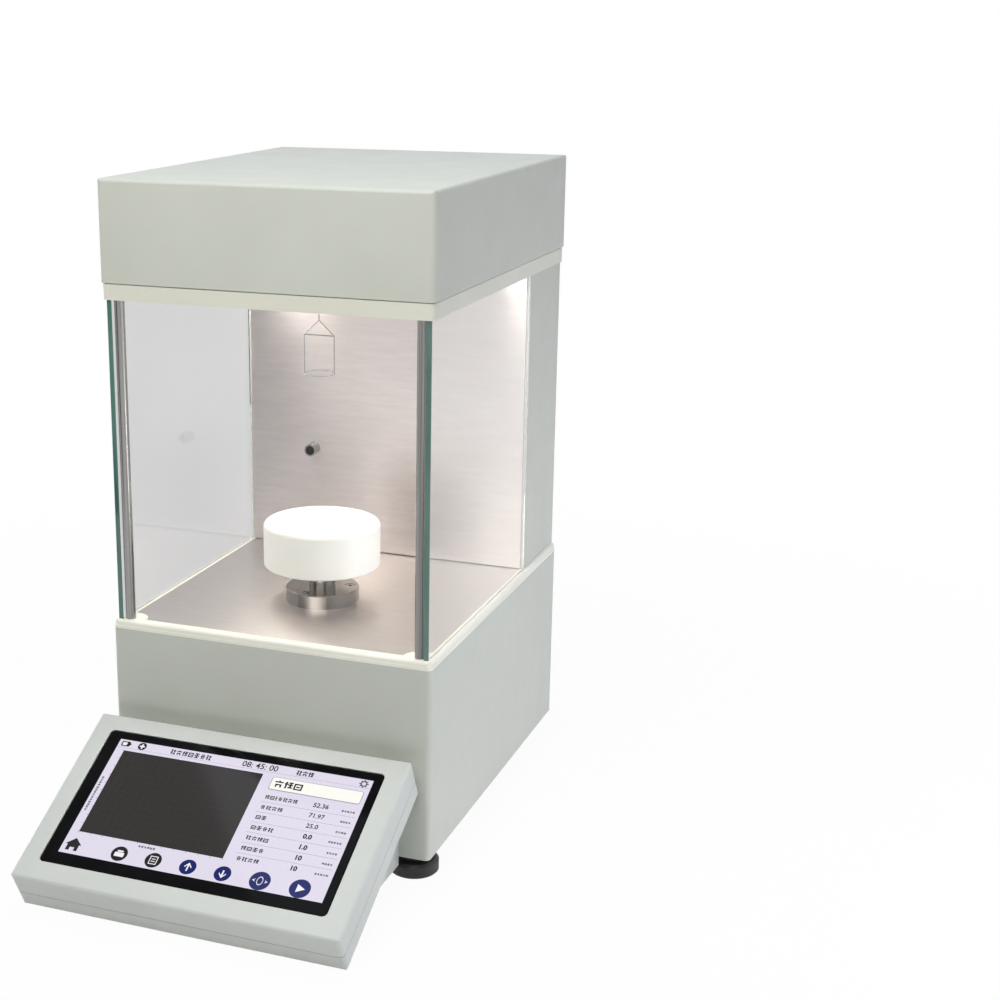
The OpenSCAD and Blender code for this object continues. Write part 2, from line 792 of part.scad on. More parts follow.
module flange_screws() color(steel) each_flange_screw(0) difference() {
    union() {
        translate([0, 0, z_flange - flange_sink]) cylinder(h = flange_head_h, d = flange_head_d);
        translate([0, 0, z_base + 0.5])
            cylinder(h = z_flange - z_base - flange_sink, d = flange_screw_d);
    }
    translate([0, 0, z_flange - flange_sink + flange_head_h / 3])
        cylinder(h = flange_sink, d = flange_hex_d, $fn = 6);
}

module lift_carriage() color(aluminium) translate([0, 0, z_carriage]) difference() {
    linear_extrude(carriage_t) carriage_outline();
    at_stage(-eps) cylinder(h = carriage_t + 2 * eps, d = stem_d + 2 * fix_gap);
    at_screw(-eps) cylinder(h = carriage_t + 2 * eps, d = nut_d + 2 * fix_gap);
    each_rod(-eps) cylinder(h = carriage_t + 2 * eps, d = bush_d + 2 * fix_gap);
}

nut_rim = 1;

// A bar across the guide rods, with a round-ended arm to the stem and one to the nut
module carriage_outline() {
    stem_r = stem_d / 2 + carriage_rim;
    nut_r = nut_flange_d / 2 + nut_rim;
    bush_r = bush_d / 2 + carriage_rim;
    translate([0, stage_y]) circle(stem_r);
    translate([-stem_r, stage_y]) square([2 * stem_r, screw_back / 2]);
    translate([0, screw_y]) circle(nut_r);
    translate([-nut_r, rod_y]) square([2 * nut_r, screw_back / 2]);
    for (x = [-rod_x, rod_x]) translate([x, rod_y]) circle(bush_r);
    translate([-rod_x, rod_y - bush_r]) square([2 * rod_x, 2 * bush_r]);
}

module guide_bushes() color(steel) each_rod(z_carriage - bush_drop) difference() {
    cylinder(h = bush_l, d = bush_d);
    translate([0, 0, -eps]) cylinder(h = bush_l + 2 * eps, d = rod_d + 2 * run_gap);
}

module lift_nut() color([0.8, 0.66, 0.36]) at_screw(z_carriage - nut_flange_t) difference() {
    union() {
        cylinder(h = nut_flange_t, d = nut_flange_d);
        cylinder(h = nut_flange_t + carriage_t, d = nut_d);
    }
    translate([0, 0, -eps])
        cylinder(h = nut_flange_t + carriage_t + 2 * eps, d = screw_d + 2 * run_gap);
}

module guide_rods() color(steel) each_rod(z_plate) {
    cylinder(h = z_lift_plate + top_plate_t / 2 - z_plate, d = rod_d);
    cylinder(h = rod_collar_h, d = rod_collar_d);
}

module lift_top_plate() color(aluminium) difference() {
    translate([0, top_front, z_lift_plate])
        box(2 * (rod_x + top_rim), screw_y + screw_d / 2 + top_rim - top_front, top_plate_t);
    at_stage(z_lift_plate - eps) cylinder(h = top_plate_t + 2 * eps, d = spigot_d + 2 * fix_gap);
    at_screw(z_lift_plate - eps) cylinder(h = top_plate_t - top_skin, d = screw_d + 2 * run_gap);
    each_rod(z_lift_plate - eps) cylinder(h = top_plate_t / 2 + eps, d = rod_d + 2 * fix_gap);
}

top_front = stage_y - spigot_d / 2 - top_rim;
top_skin = 1;
end_gap = 0.5;
shaft_in = 6;
screw_low = z_coupling + coupling_l / 2 + end_gap;
screw_high = z_lift_plate + top_plate_t - top_skin - end_gap;

module lead_screw() color(steel) at_screw(screw_low)
    cylinder(h = screw_high - screw_low, d = screw_d);

module motor_shaft() color(steel) at_screw(z_bracket - shaft_in)
    cylinder(h = screw_low - 2 * end_gap - z_bracket + shaft_in, d = shaft_d);

// Clamp coupling with a slit ring at each end
module shaft_coupling() color(aluminium) at_screw(z_coupling) difference() {
    cylinder(h = coupling_l, d = coupling_d);
    translate([0, 0, -eps]) cylinder(h = coupling_l / 2 + 2 * eps, d = shaft_d + 2 * fix_gap);
    translate([0, 0, coupling_l / 2]) cylinder(h = coupling_l / 2 + eps, d = screw_d + 2 * fix_gap);
    for (z = [coupling_l * 0.3, coupling_l * 0.65]) translate([0, 0, z]) difference() {
        cylinder(h = slit_w, d = coupling_d + 1);
        cylinder(h = slit_w, d = coupling_d - 2 * slit_d);
    }
}

slit_w = 1;
slit_d = 2;

module lift_motor() color(black) at_screw(z_plate) difference() {
    union() {
        linear_extrude(motor_h) difference() {
            square(motor_w, center = true);
            for (a = [45:90:315]) rotate(a)
                translate([motor_w * 0.66, -motor_w / 4]) square(motor_w / 2);
        }
        translate([0, 0, motor_h]) cylinder(h = motor_boss_h, d = motor_boss_d);
    }
    translate([0, 0, motor_h - shaft_in - 1])
        cylinder(h = shaft_in + 1 + motor_boss_h + eps, d = shaft_d + 2 * run_gap);
}

module motor_bracket() color(aluminium) at_screw(z_bracket) difference() {
    union() {
        centred_box(bracket_w, bracket_w, bracket_t);
        for (x = [-1, 1], y = [-1, 1]) translate([x * leg_at, y * leg_at, -motor_h])
            cylinder(h = motor_h + eps, d = leg_d);
    }
    translate([0, 0, -eps]) cylinder(h = bracket_t + 2 * eps, d = motor_boss_d + 2 * fix_gap);
}

leg_at = bracket_w / 2 - leg_d / 2;

// ---- electronics ----

psu_gap = 3;
psu_x = tab_x - psu_gap - psu_w / 2;
psu_pitch = psu_l / 11;
psu_rim = psu_h * 0.23;
main_gap = 2;
main_x = foot_rear_x - stud_bush_d / 2 - main_gap - main_w / 2;
main_y = body_d - sheet_t - spacer_d - main_l;

// Case with a row of air slots on its inner side and a step for its terminals
module power_supply() color([0.7, 0.71, 0.72]) translate([-psu_x, psu_front, z_plate]) difference() {
    box(psu_w, psu_l, psu_h);
    for (i = [1:8]) translate([psu_w / 2 - 1, (i + 0.4) * psu_pitch, psu_rim])
        cube([2, psu_pitch / 2, psu_h - 2 * psu_rim]);
    translate([0, -eps, psu_h * 0.7]) box(psu_w * 0.75, psu_pitch * 1.2, psu_h);
}

// Heights of the parts on the boards
chip_h = 2;
plug_h = 3;
coil_h = 12;
cap_h = 14;
cap_d = 10;

// Circuit board on a round spacer near each corner, its near edge on y = 0
module board_on_spacers(w, l, h) {
    translate([0, 0, h]) box(w, l, board_t);
    for (x = [-1, 1], y = [spacer_d, l - spacer_d]) translate([x * (w / 2 - spacer_d), y, 0])
        cylinder(h = h, d = spacer_d);
}

// Block that stands for a part on a board, placed and sized by shares of the board
module board_block(w, l, h, x, y, part_w, part_l, part_h) {
    translate([x * w, y * l, h + board_t]) centred_box(part_w * w, part_l * l, part_h);
}

module main_board() color(board_green) translate([main_x, main_y, z_plate]) {
    board_on_spacers(main_w, main_l, spacer_h);
    board_block(main_w, main_l, spacer_h, -0.22, 0.3, 0.18, 0.27, chip_h);
    board_block(main_w, main_l, spacer_h, 0.09, 0.3, 0.27, 0.22, coil_h);
    for (x = [-0.2, -0.09]) translate([x * main_w, 0.73 * main_l, spacer_h + board_t])
        cylinder(h = cap_h, d = cap_d);
}

inlet_ear = 5;
inlet_rim = 3;
socket_x = -5;
socket_w = 24;
socket_h = 17;
socket_l = 16;
fuse_x = 15;
fuse_w = 7;
fuse_h = 20;
fuse_sunk = 0.6;

// Body of the mains inlet behind its flange, outer face along +Y
module inlet_body(gap) {
    translate([0, -inlet_d, 0]) upright(inlet_w - 2 * inlet_ear + 2 * gap,
        inlet_h - 2 * inlet_rim + 2 * gap, inlet_d + 1);
}

// Flanged inlet with the recess of its socket and a shallow one for its fuse drawer
module mains_inlet() color(black) translate([inlet_x, body_d, rear_z]) difference() {
    union() {
        inlet_body(0);
        upright(inlet_w, inlet_h, bezel_t);
    }
    translate([socket_x, -socket_l, 0]) upright(socket_w, socket_h, socket_l + 2 * bezel_t);
    translate([fuse_x, bezel_t - fuse_sunk, 0]) upright(fuse_w, fuse_h, bezel_t);
}

// Block centred in x and z that runs along +Y from y = 0
module upright(w, h, d) {
    translate([-w / 2, 0, -h / 2]) cube([w, d, h]);
}

switch_l = 18;
switch_rim = 1.5;
rocker_w = switch_w - 4 * switch_rim;

module switch_body(gap) {
    translate([0, -switch_l, 0]) upright(switch_w - 2 * switch_rim + 2 * gap,
        switch_h - 2 * switch_rim + 2 * gap, switch_l + 1);
}

module switch_bezel() color(black) translate([switch_x, body_d, rear_z]) difference() {
    union() {
        switch_body(0);
        upright(switch_w, switch_h, bezel_t);
    }
    rotate([0, 90, 0]) cylinder(h = rocker_w + 2 * move_gap, r = rocker_r + move_gap, center = true);
}

// Rocker: a round block whose two outer faces meet in a shallow valley, pressed in below
module power_rocker() color(black) translate([switch_x, body_d, rear_z])
    rotate([90, 0, 90]) translate([0, 0, -rocker_w / 2]) linear_extrude(rocker_w)
    rotate(-rocker_throw / 2) intersection() {
        circle(rocker_r);
        polygon([[-rocker_r, -rocker_r], [rocker_face, -rocker_r], [rocker_face, -rocker_half],
            [rocker_face - rocker_valley, 0], [rocker_face, rocker_half],
            [rocker_face, rocker_r], [-rocker_r, rocker_r]]);
    }

rocker_valley = 0.9;
rocker_face = rocker_r * cos(rocker_corner);
rocker_half = rocker_r * sin(rocker_corner);

port_l = 12;
port_ear = 6;
port_rim = 1;
port_flange_t = 1;
jack_d = 4.8;
contact_pitch = 2.8;
contact_d = 1.1;
contact_l = 3;

module port_body(gap) {
    translate([0, -port_l, 0]) upright(port_w - 2 * port_ear + 2 * gap,
        port_h - 2 * port_rim + 2 * gap, port_l + port_flange_t);
}

// Flanged connector with a standing shell, two rows of contacts and two jack posts
module data_port() color(steel) translate([port_x, body_d, port_z]) {
    port_body(0);
    upright(port_w, port_h, port_flange_t);
    for (x = [-1, 1]) translate([x * (port_w - port_ear) / 2, 0, 0]) rotate([-90, 0, 0])
        cylinder(h = port_out, d = jack_d, $fn = 6);
    difference() {
        upright(port_w - 2 * port_ear - 2 * port_rim, port_h - 4 * port_rim, port_out);
        for (i = [-2:2]) contact_hole(i, 0.5);
        for (i = [-1.5:1.5]) contact_hole(i, -0.5);
    }
}

module contact_hole(i, row) {
    translate([i * contact_pitch, port_out - contact_l, row * contact_pitch])
        rotate([-90, 0, 0]) cylinder(h = contact_l + 1, d = contact_d, $fn = 16);
}

// Open trough with a lid, fixed to the column's back wall
module cable_duct() color([0.75, 0.75, 0.78])
    translate([0, body_d - col_back - sheet_t - duct_w, z_deck]) difference() {
    box(duct_w, duct_w, chamber_h);
    translate([0, duct_wall, -eps])
        box(duct_w - 2 * duct_wall, duct_w - 2 * duct_wall, chamber_h + 2 * eps);
    for (i = [0:floor(chamber_h / duct_pitch) - 1])
        translate([0, duct_w / 4, (i + 0.6) * duct_pitch])
            box(duct_w + 2, duct_w / 2, duct_slot);
}

duct_wall = 2;
duct_pitch = 14;
duct_slot = 5;

// ---- sensor head ----

z_cell = z_head + ceil_step_h + cell_block_h;
cell_y = stage_y - cell_w / 2;
cell_end = cell_y + cell_l;
cell_bore_at = 7;
cell_skin = 1.5;
cell_slot = 4;
hanger_neck = 2;
hanger_nut_h = 3;
hanger_nut_d = hanger_d + 3;
hook_z = z_ceil - hook_drop;

// Bending beam: a bar with two joined bores that make its thin flexures
module load_cell() color(aluminium) translate([0, cell_y, z_cell]) difference() {
    box(cell_w, cell_l, cell_w);
    for (y = [-cell_bore_at, cell_bore_at]) translate([0, cell_l / 2 + y, cell_w / 2])
        rotate([0, 90, 0]) cylinder(h = cell_w + 2, d = cell_w - 2 * cell_skin, center = true);
    translate([0, cell_l / 2 - cell_bore_at, (cell_w - cell_slot) / 2])
        box(cell_w + 2, 2 * cell_bore_at, cell_slot);
    translate([0, cell_w / 2, -eps]) cylinder(h = cell_w + 2 * eps, d = hanger_d + 2 * fix_gap);
}

module load_cell_block() color(aluminium)
    translate([0, cell_end - cell_block_l, z_head + ceil_step_h])
        box(2 * cell_w, cell_block_l, cell_block_h);

// Rod through the beam's free end, necked to a wire that bends into an open hook
module ring_hanger() color(steel) {
    at_stage(hook_z + 2 * hanger_neck)
        cylinder(h = z_cell + cell_w + hanger_nut_h - hook_z - 2 * hanger_neck, d = hanger_d);
    at_stage(z_cell + cell_w) cylinder(h = hanger_nut_h, d = hanger_nut_d);
    at_stage(hook_z + hanger_neck) cylinder(h = hanger_neck, d1 = hook_wire, d2 = hanger_d);
    translate([0, stage_y - hook_r, hook_z]) rotate([0, 90, 0]) rotate([0, 0, 90])
        rotate_extrude(angle = -180) translate([hook_r, 0]) circle(d = hook_wire, $fn = 16);
    translate([0, stage_y, hook_z - eps])
        cylinder(h = hanger_neck + 2 * eps, d = hook_wire, $fn = 16);
    translate([0, stage_y - 2 * hook_r, hook_z - eps])
        cylinder(h = hanger_neck / 2, d = hook_wire, $fn = 16);
}

module sensor_board() color(board_green)
    translate([0, cell_end + spacer_h, z_head + ceil_step_h]) {
        board_on_spacers(amp_w, amp_l, spacer_h);
        board_block(amp_w, amp_l, spacer_h, 0, 0.5, 0.2, 0.35, plug_h);
    }

module light_bar(x) color([1, 0.98, 0.92]) translate([x, led_y, z_ceil])
    box(led_w, led_l, led_t - 0.2);

module light_bar_left() light_bar(-led_x);
module light_bar_right() light_bar(led_x);

// ---- measuring ring ----

ring_y = stage_y - hook_r;
hang_z = hook_z - hook_r;
hook_top = hang_z + ((hook_wire + stirrup_wire) / 2 + run_gap) * sqrt(2);
diag = ring_hook * sqrt(2);
shank_top = hook_top - diag;
gable_top = shank_top - shank_l;
bar_z = gable_top - gable_h;
ring_z = bar_z - leg_l;
ring_r = ring_d / 2;

// Ring, two legs, cross bar and gable, with an open square hook on its corner
module measuring_ring() color([0.85, 0.85, 0.86]) translate([0, ring_y, 0]) {
    translate([0, 0, ring_z]) rotate_extrude($fn = 64) translate([ring_r, 0])
        circle(d = ring_wire, $fn = 16);
    for (s = [-1, 1]) {
        wire([s * ring_r, 0, ring_z], [s * ring_r, 0, bar_z], stirrup_wire);
        wire([s * ring_r, 0, bar_z], [0, 0, gable_top], stirrup_wire);
    }
    wire([-ring_r - 0.2, 0, bar_z], [ring_r + 0.2, 0, bar_z], stirrup_wire + 0.2);
    wire([0, 0, gable_top], [0, 0, shank_top], stirrup_wire);
    wire([0, 0, shank_top], [diag / 2, 0, shank_top + diag / 2], stirrup_wire);
    wire([diag / 2, 0, shank_top + diag / 2], [0, 0, hook_top], stirrup_wire);
    wire([0, 0, hook_top], [-diag / 2, 0, shank_top + diag / 2], stirrup_wire);
    for (p = [[ring_r, bar_z], [-ring_r, bar_z], [0, gable_top], [0, shank_top],
            [diag / 2, shank_top + diag / 2], [0, hook_top]])
        translate([p[0], 0, p[1]]) sphere(d = stirrup_wire, $fn = 16);
}

// ---- console ----

touch_sunk = 0.2;
touch_up = 0.7;
touch_b = (console_l - touch_l) / 2 + touch_up;
lcd_b = (console_l - lcd_l) / 2 + touch_up;
touch_c = console_t - touch_sunk - touch_t;
skin_c = touch_c - ledge_t;

pillar_d = 10;
pillar_in = 7;
boss_d = 8;
boss_h = 6;
stand_screw_d = 3;
cable_b = console_l * 0.8;
stand_screw_x = stand_x - stand_t - boss_h;
con_board_w = 2 * (stand_screw_x - boss_d);
con_board_b = (console_l - con_board_l) / 2;
con_spacer_h = 3;

// Pillars in the corners, where the two shells meet
module each_pillar(c) {
    for (x = [-1, 1], b = [pillar_in, console_l - pillar_in])
        translate([x * (console_w / 2 - pillar_in), b, c]) children();
}

module each_stand_screw(c) {
    for (x = [-1, 1], b = [0.28, 0.79])
        translate([x * stand_screw_x, b * console_l, c]) children();
}

module console_upper() color(paint) on_slope() {
    difference() {
        intersection() {
            round_block(console_w, console_l, console_t, console_r);
            translate([0, -1, lower_t]) box(console_w + 2, console_l + 2, upper_t + 1);
        }
        translate([0, touch_b - touch_gap, touch_c]) linear_extrude(touch_t + 1)
            round_rect(touch_w + 2 * touch_gap, touch_l + 2 * touch_gap, touch_r);
        translate([0, touch_b + touch_ledge, lower_t])
            box(touch_w - 2 * touch_ledge, touch_l - 2 * touch_ledge, upper_t);
        translate([0, console_wall, lower_t - eps])
            box(console_w - 2 * console_wall, console_l - 2 * console_wall, skin_c - lower_t + eps);
    }
    each_pillar(lower_t) cylinder(h = skin_c - lower_t + eps, d = pillar_d);
}

module console_lower() color(paint) on_slope() difference() {
    union() {
        difference() {
            intersection() {
                round_block(console_w, console_l, console_t, console_r);
                translate([0, -1, -1])
                    box(console_w + 2, console_l + 2, lower_t - console_seam + 1);
            }
            translate([0, console_wall, console_wall])
                box(console_w - 2 * console_wall, console_l - 2 * console_wall, lower_t);
        }
        each_pillar(console_wall - eps) cylinder(h = lower_t - console_wall + eps, d = pillar_d);
        each_stand_screw(console_wall - eps) cylinder(h = boss_h, d = boss_d);
    }
    translate([0, cable_b, -eps]) cylinder(h = console_wall + 2 * eps, d = stand_cable_d);
    each_stand_screw(-eps) cylinder(h = boss_h, d = stand_screw_d + 2 * run_gap);
}

module touch_glass() color(black) on_slope() translate([0, touch_b, touch_c])
    linear_extrude(touch_t) round_rect(touch_w, touch_l, touch_r - touch_gap);

module screen_module() color(steel) on_slope() translate([0, lcd_b, skin_c - lcd_t])
    box(lcd_w, lcd_l, lcd_t);

module console_board() color(board_green) on_slope() translate([0, con_board_b, console_wall]) {
    board_on_spacers(con_board_w, con_board_l, con_spacer_h);
    board_block(con_board_w, con_board_l, con_spacer_h, -0.2, 0.5, 0.17, 0.3, chip_h);
    board_block(con_board_w, con_board_l, con_spacer_h, 0.28, 0.5, 0.2, 0.13, plug_h);
}

stand_cable_d = 12;
stand_cable_z = foot_h + 18;
stand_back = -0.02;
seat_gap = 0.02;

// Height of the console's underside above the bench at a given y
function under_z(y) = (y - con_y) * tan(console_tilt);
// The y where the console's underside is at a given height
function under_y(z) = con_y + z / tan(console_tilt);

// Side view of the wedge under the console, drawn in by the given wall
module wedge(wall) {
    top_drop = (seat_gap + wall) / con_cos;
    foot_y = under_y(stand_lift + top_drop);
    polygon([[foot_y, stand_lift - (wall > 0 ? 1 : 0)],
        [stand_back - wall, stand_lift - (wall > 0 ? 1 : 0)],
        [stand_back - wall, under_z(stand_back - wall) - top_drop],
        [foot_y, stand_lift]]);
}

module wedge_solid(w, wall) {
    translate([-console_x - w / 2, 0, 0]) rotate([90, 0, 90]) linear_extrude(w) wedge(wall);
}

// Folded sheet wedge, open below: two cheeks, a top under the console, a back on the base
module console_stand() color(paint) difference() {
    wedge_solid(2 * stand_x, 0);
    wedge_solid(2 * (stand_x - stand_t), stand_t);
    translate([-console_x, stand_back - stand_t - 1, stand_cable_z]) rotate([-90, 0, 0])
        cylinder(h = stand_t + 2, d = stand_cable_d);
    on_slope() translate([0, cable_b, -stand_t - 1]) cylinder(h = stand_t + 2, d = stand_cable_d);
    on_slope() each_stand_screw(-stand_t - 1)
        cylinder(h = stand_t + 2, d = stand_screw_d + 2 * drop_gap);
}

// Screws from below that hold the console to its stand
module stand_screws() color(steel) on_slope() each_stand_screw(-stand_t - seat_gap) {
    translate([0, 0, -cover_head_h]) cylinder(h = cover_head_h, d = cover_head_d);
    cylinder(h = stand_t + boss_h - 1, d = stand_screw_d);
}

pad_b = pad_d * 5 / 6;

// Upright rubber pads that carry the console's front, cut to its slope on top
module console_pads() color(black) for (s = [-1, 1]) difference() {
    translate([s * (console_w / 2 - pad_in) - console_x, con_y + pad_b * con_cos, 0])
        cylinder(h = (pad_b + pad_d) * con_sin, d = pad_d);
    on_slope() translate([0, -pad_d, 0]) box(console_w, console_l, 2 * console_t);
}

at_origin() base_cover();
at_origin() base_plate();
at_origin() deck_plate();
at_origin() chamber_floor();
at_origin() ceiling_plate();
at_origin() head_cover();
at_origin() column_shell();
at_origin() back_panel();
at_origin() post_left();
at_origin() post_right();
at_origin() glass_left();
at_origin() glass_right();
at_origin() probe_sleeve();
at_origin() probe_tip();
at_origin() light_bar_left();
at_origin() light_bar_right();
at_origin() foot_front_left();
at_origin() foot_front_right();
at_origin() foot_rear_left();
at_origin() foot_rear_right();
at_origin() stud_bushes();
at_origin() sample_table();
at_origin() lift_stem();
at_origin() stem_flange();
at_origin() flange_screws();
at_origin() lift_carriage();
at_origin() guide_bushes();
at_origin() lift_nut();
at_origin() guide_rods();
at_origin() lift_top_plate();
at_origin() lead_screw();
at_origin() motor_shaft();
at_origin() shaft_coupling();
at_origin() lift_motor();
at_origin() motor_bracket();
at_origin() power_supply();
at_origin() main_board();
at_origin() mains_inlet();
at_origin() switch_bezel();
at_origin() power_rocker();
at_origin() data_port();
at_origin() cable_duct();
at_origin() load_cell();
at_origin() load_cell_block();
at_origin() ring_hanger();
at_origin() sensor_board();
at_origin() measuring_ring();
at_origin() console_upper();
at_origin() console_lower();
at_origin() touch_glass();
at_origin() screen_module();
at_origin() console_board();
at_origin() console_stand();
at_origin() console_pads();
at_origin() stand_screws();
at_origin() base_screws();
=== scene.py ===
"""Surface tensiometer: looks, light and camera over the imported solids."""

import math

import bmesh
import bpy
from mathutils import Matrix, Vector


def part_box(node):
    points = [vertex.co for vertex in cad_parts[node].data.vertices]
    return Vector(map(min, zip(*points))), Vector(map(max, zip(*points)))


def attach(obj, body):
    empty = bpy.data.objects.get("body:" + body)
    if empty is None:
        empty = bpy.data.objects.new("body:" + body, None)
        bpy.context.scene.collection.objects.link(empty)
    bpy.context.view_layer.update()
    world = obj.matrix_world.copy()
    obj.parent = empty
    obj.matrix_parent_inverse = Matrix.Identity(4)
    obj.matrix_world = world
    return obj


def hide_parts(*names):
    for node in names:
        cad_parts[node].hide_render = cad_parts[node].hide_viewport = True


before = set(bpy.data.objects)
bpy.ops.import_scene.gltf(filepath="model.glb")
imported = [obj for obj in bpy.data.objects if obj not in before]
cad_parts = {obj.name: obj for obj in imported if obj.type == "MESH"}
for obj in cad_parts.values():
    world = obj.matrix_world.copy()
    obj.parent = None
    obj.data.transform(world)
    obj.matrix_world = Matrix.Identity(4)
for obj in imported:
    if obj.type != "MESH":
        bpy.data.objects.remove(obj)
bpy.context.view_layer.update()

MM = 0.001

# ---------------------------------------------------------------- places, from the solids


def low(node):
    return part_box(node)[0]


def high(node):
    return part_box(node)[1]


MID_X = (low("base_cover").x + high("base_cover").x) / 2
FRONT_Y = low("base_cover").y
CONSOLE_TILT = math.radians(27.25)
CONSOLE_X = (low("console_upper").x + high("console_upper").x) / 2
CONSOLE_L = 121.6 * MM
CONSOLE_T = 26.2 * MM
CONSOLE_ROUND = 2 * MM
CONSOLE_GAP = 0.4 * MM
GLASS_W, GLASS_L, GLASS_T = 172.6 * MM, 96.7 * MM, 1.8 * MM
GLASS_ROUND = 2.75 * MM
GLASS_SUNK = 0.2 * MM
GLASS_UP = 0.7 * MM


def slope_frame():
    """Matrix from the console's own axes (across, up the slope, out of its face) to the frame."""
    c, s = math.cos(CONSOLE_TILT), math.sin(CONSOLE_TILT)
    foot_y = FRONT_Y - CONSOLE_GAP - CONSOLE_L * c + CONSOLE_ROUND * (c + s - 1)
    return Matrix.Translation((CONSOLE_X, foot_y, 0)) @ Matrix.Rotation(CONSOLE_TILT, 4, "X")


# ---------------------------------------------------------------- colours and node helpers


def chip(r, g, b):
    """A paint chip's 0-255 colour (sRGB) as the linear colour that a shader takes."""
    out = []
    for v in (r, g, b):
        v /= 255
        out.append(v / 12.92 if v <= 0.04045 else ((v + 0.055) / 1.055) ** 2.4)
    return (*out, 1.0)


class Finish:
    """One material: a Principled surface with helpers for its tone, grain and bump."""

    def __init__(self, name, colour, roughness, metallic=0.0, **sockets):
        self.mat = bpy.data.materials.new(name)
        self.mat.use_nodes = True
        self.nt = self.mat.node_tree
        self.nt.nodes.clear()
        self.out = self.nt.nodes.new("ShaderNodeOutputMaterial")
        self.bsdf = self.nt.nodes.new("ShaderNodeBsdfPrincipled")
        self.nt.links.new(self.bsdf.outputs["BSDF"], self.out.inputs["Surface"])
        self.bsdf.inputs["Base Color"].default_value = colour
        self.bsdf.inputs["Roughness"].default_value = roughness
        self.bsdf.inputs["Metallic"].default_value = metallic
        for socket, value in sockets.items():
            self.bsdf.inputs[socket.replace("_", " ")].default_value = value
        self.place = self.nt.nodes.new("ShaderNodeTexCoord").outputs["Object"]

    def stretched(self, scale):
        """Object coordinates, stretched, for grain that runs one way."""
        m = self.nt.nodes.new("ShaderNodeMapping")
        m.inputs["Scale"].default_value = scale
        self.nt.links.new(self.place, m.inputs["Vector"])
        return m.outputs["Vector"]

    def noise(self, scale, detail=3.0, rough=0.55, at=None):
        n = self.nt.nodes.new("ShaderNodeTexNoise")
        n.inputs["Scale"].default_value = scale
        n.inputs["Detail"].default_value = detail
        n.inputs["Roughness"].default_value = rough
        self.nt.links.new(at or self.place, n.inputs["Vector"])
        return n.outputs["Fac"]

    def ramp(self, fac, stops):
        r = self.nt.nodes.new("ShaderNodeValToRGB")
        e = r.color_ramp.elements
        while len(e) < len(stops):
            e.new(0.5)
        for i, (pos, col) in enumerate(stops):
            e[i].position = pos
            e[i].color = col
        self.nt.links.new(fac, r.inputs["Fac"])
        return r.outputs["Color"]

    def level(self, fac, lo, hi, start, end):
        """A texture's value, spread from one range to another."""
        m = self.nt.nodes.new("ShaderNodeMapRange")
        m.inputs["From Min"].default_value = start
        m.inputs["From Max"].default_value = end
        m.inputs["To Min"].default_value = lo
        m.inputs["To Max"].default_value = hi
        self.nt.links.new(fac, m.inputs["Value"])
        return m.outputs["Result"]

    def tone(self, fac, dark, light, start=0.35, end=0.65):
        """Colour that drifts between two shades."""
        self.nt.links.new(self.ramp(fac, [(start, dark), (end, light)]),
                          self.bsdf.inputs["Base Color"])

    def wear(self, fac, lo, hi, start=0.3, end=0.7):
        """Roughness that drifts between two values."""
        self.nt.links.new(self.level(fac, lo, hi, start, end), self.bsdf.inputs["Roughness"])

    def bump(self, fac, height, strength):
        """Surface relief of a height in metres."""
        b = self.nt.nodes.new("ShaderNodeBump")
        b.inputs["Strength"].default_value = strength
        b.inputs["Distance"].default_value = height
        self.nt.links.new(fac, b.inputs["Height"])
        self.nt.links.new(b.outputs["Normal"], self.bsdf.inputs["Normal"])


def shade(colour, k):
    """The same colour, darker or lighter."""
    return (colour[0] * k, colour[1] * k, colour[2] * k, 1.0)


# ---------------------------------------------------------------- finishes


def powder_coat(name, colour, grain=0.35):
    """Fine powder coat: orange-peel relief of half a millimetre, faint cloudiness."""
    f = Finish(name, colour, 0.42)
    f.tone(f.noise(14, 4), shade(colour, 0.975), shade(colour, 1.02))
    f.wear(f.noise(60, 3), 0.38, 0.50)
    f.bump(f.noise(1500, 2.0, 0.5), 0.06 * MM, grain)
    return f.mat


def ivory_plate(name, colour):
    """Satin moulded plate, a little cloudy."""
    f = Finish(name, colour, 0.34)
    f.tone(f.noise(9, 3), shade(colour, 0.97), shade(colour, 1.015))
    f.wear(f.noise(40, 4), 0.28, 0.42)
    f.bump(f.noise(700, 2), 0.02 * MM, 0.3)
    return f.mat


def brushed_sheet(name, colour, roughness, round_axis):
    """Brushed stainless: hair-fine lines along x, so that glints spread across them."""
    f = Finish(name, colour, roughness, 1.0, Anisotropic=0.75, Anisotropic_Rotation=0.25)
    lines = f.noise(1.0, 2, 0.6, f.stretched((7, 1500, 1500)))
    drift = f.noise(1.0, 4, 0.7, f.stretched((45, 380, 380)))
    f.tone(drift, shade(colour, 0.94), shade(colour, 1.045), 0.3, 0.7)
    f.wear(drift, roughness - 0.02, roughness + 0.03)
    f.bump(lines, 0.02 * MM, 0.4)
    way = f.nt.nodes.new("ShaderNodeTangent")
    way.direction_type = "RADIAL"
    way.axis = round_axis
    f.nt.links.new(way.outputs["Tangent"], f.bsdf.inputs["Tangent"])
    return f.mat


def turned_steel(name, colour, roughness):
    """Turned stainless: fine rings across the bar, polished on top."""
    f = Finish(name, colour, roughness, 1.0)
    rings = f.noise(1.0, 2, 0.6, f.stretched((8, 8, 2200)))
    f.tone(f.noise(25, 4), shade(colour, 0.90), shade(colour, 1.06))
    f.wear(rings, roughness - 0.04, roughness + 0.07)
    f.bump(rings, 0.012 * MM, 0.3)
    return f.mat


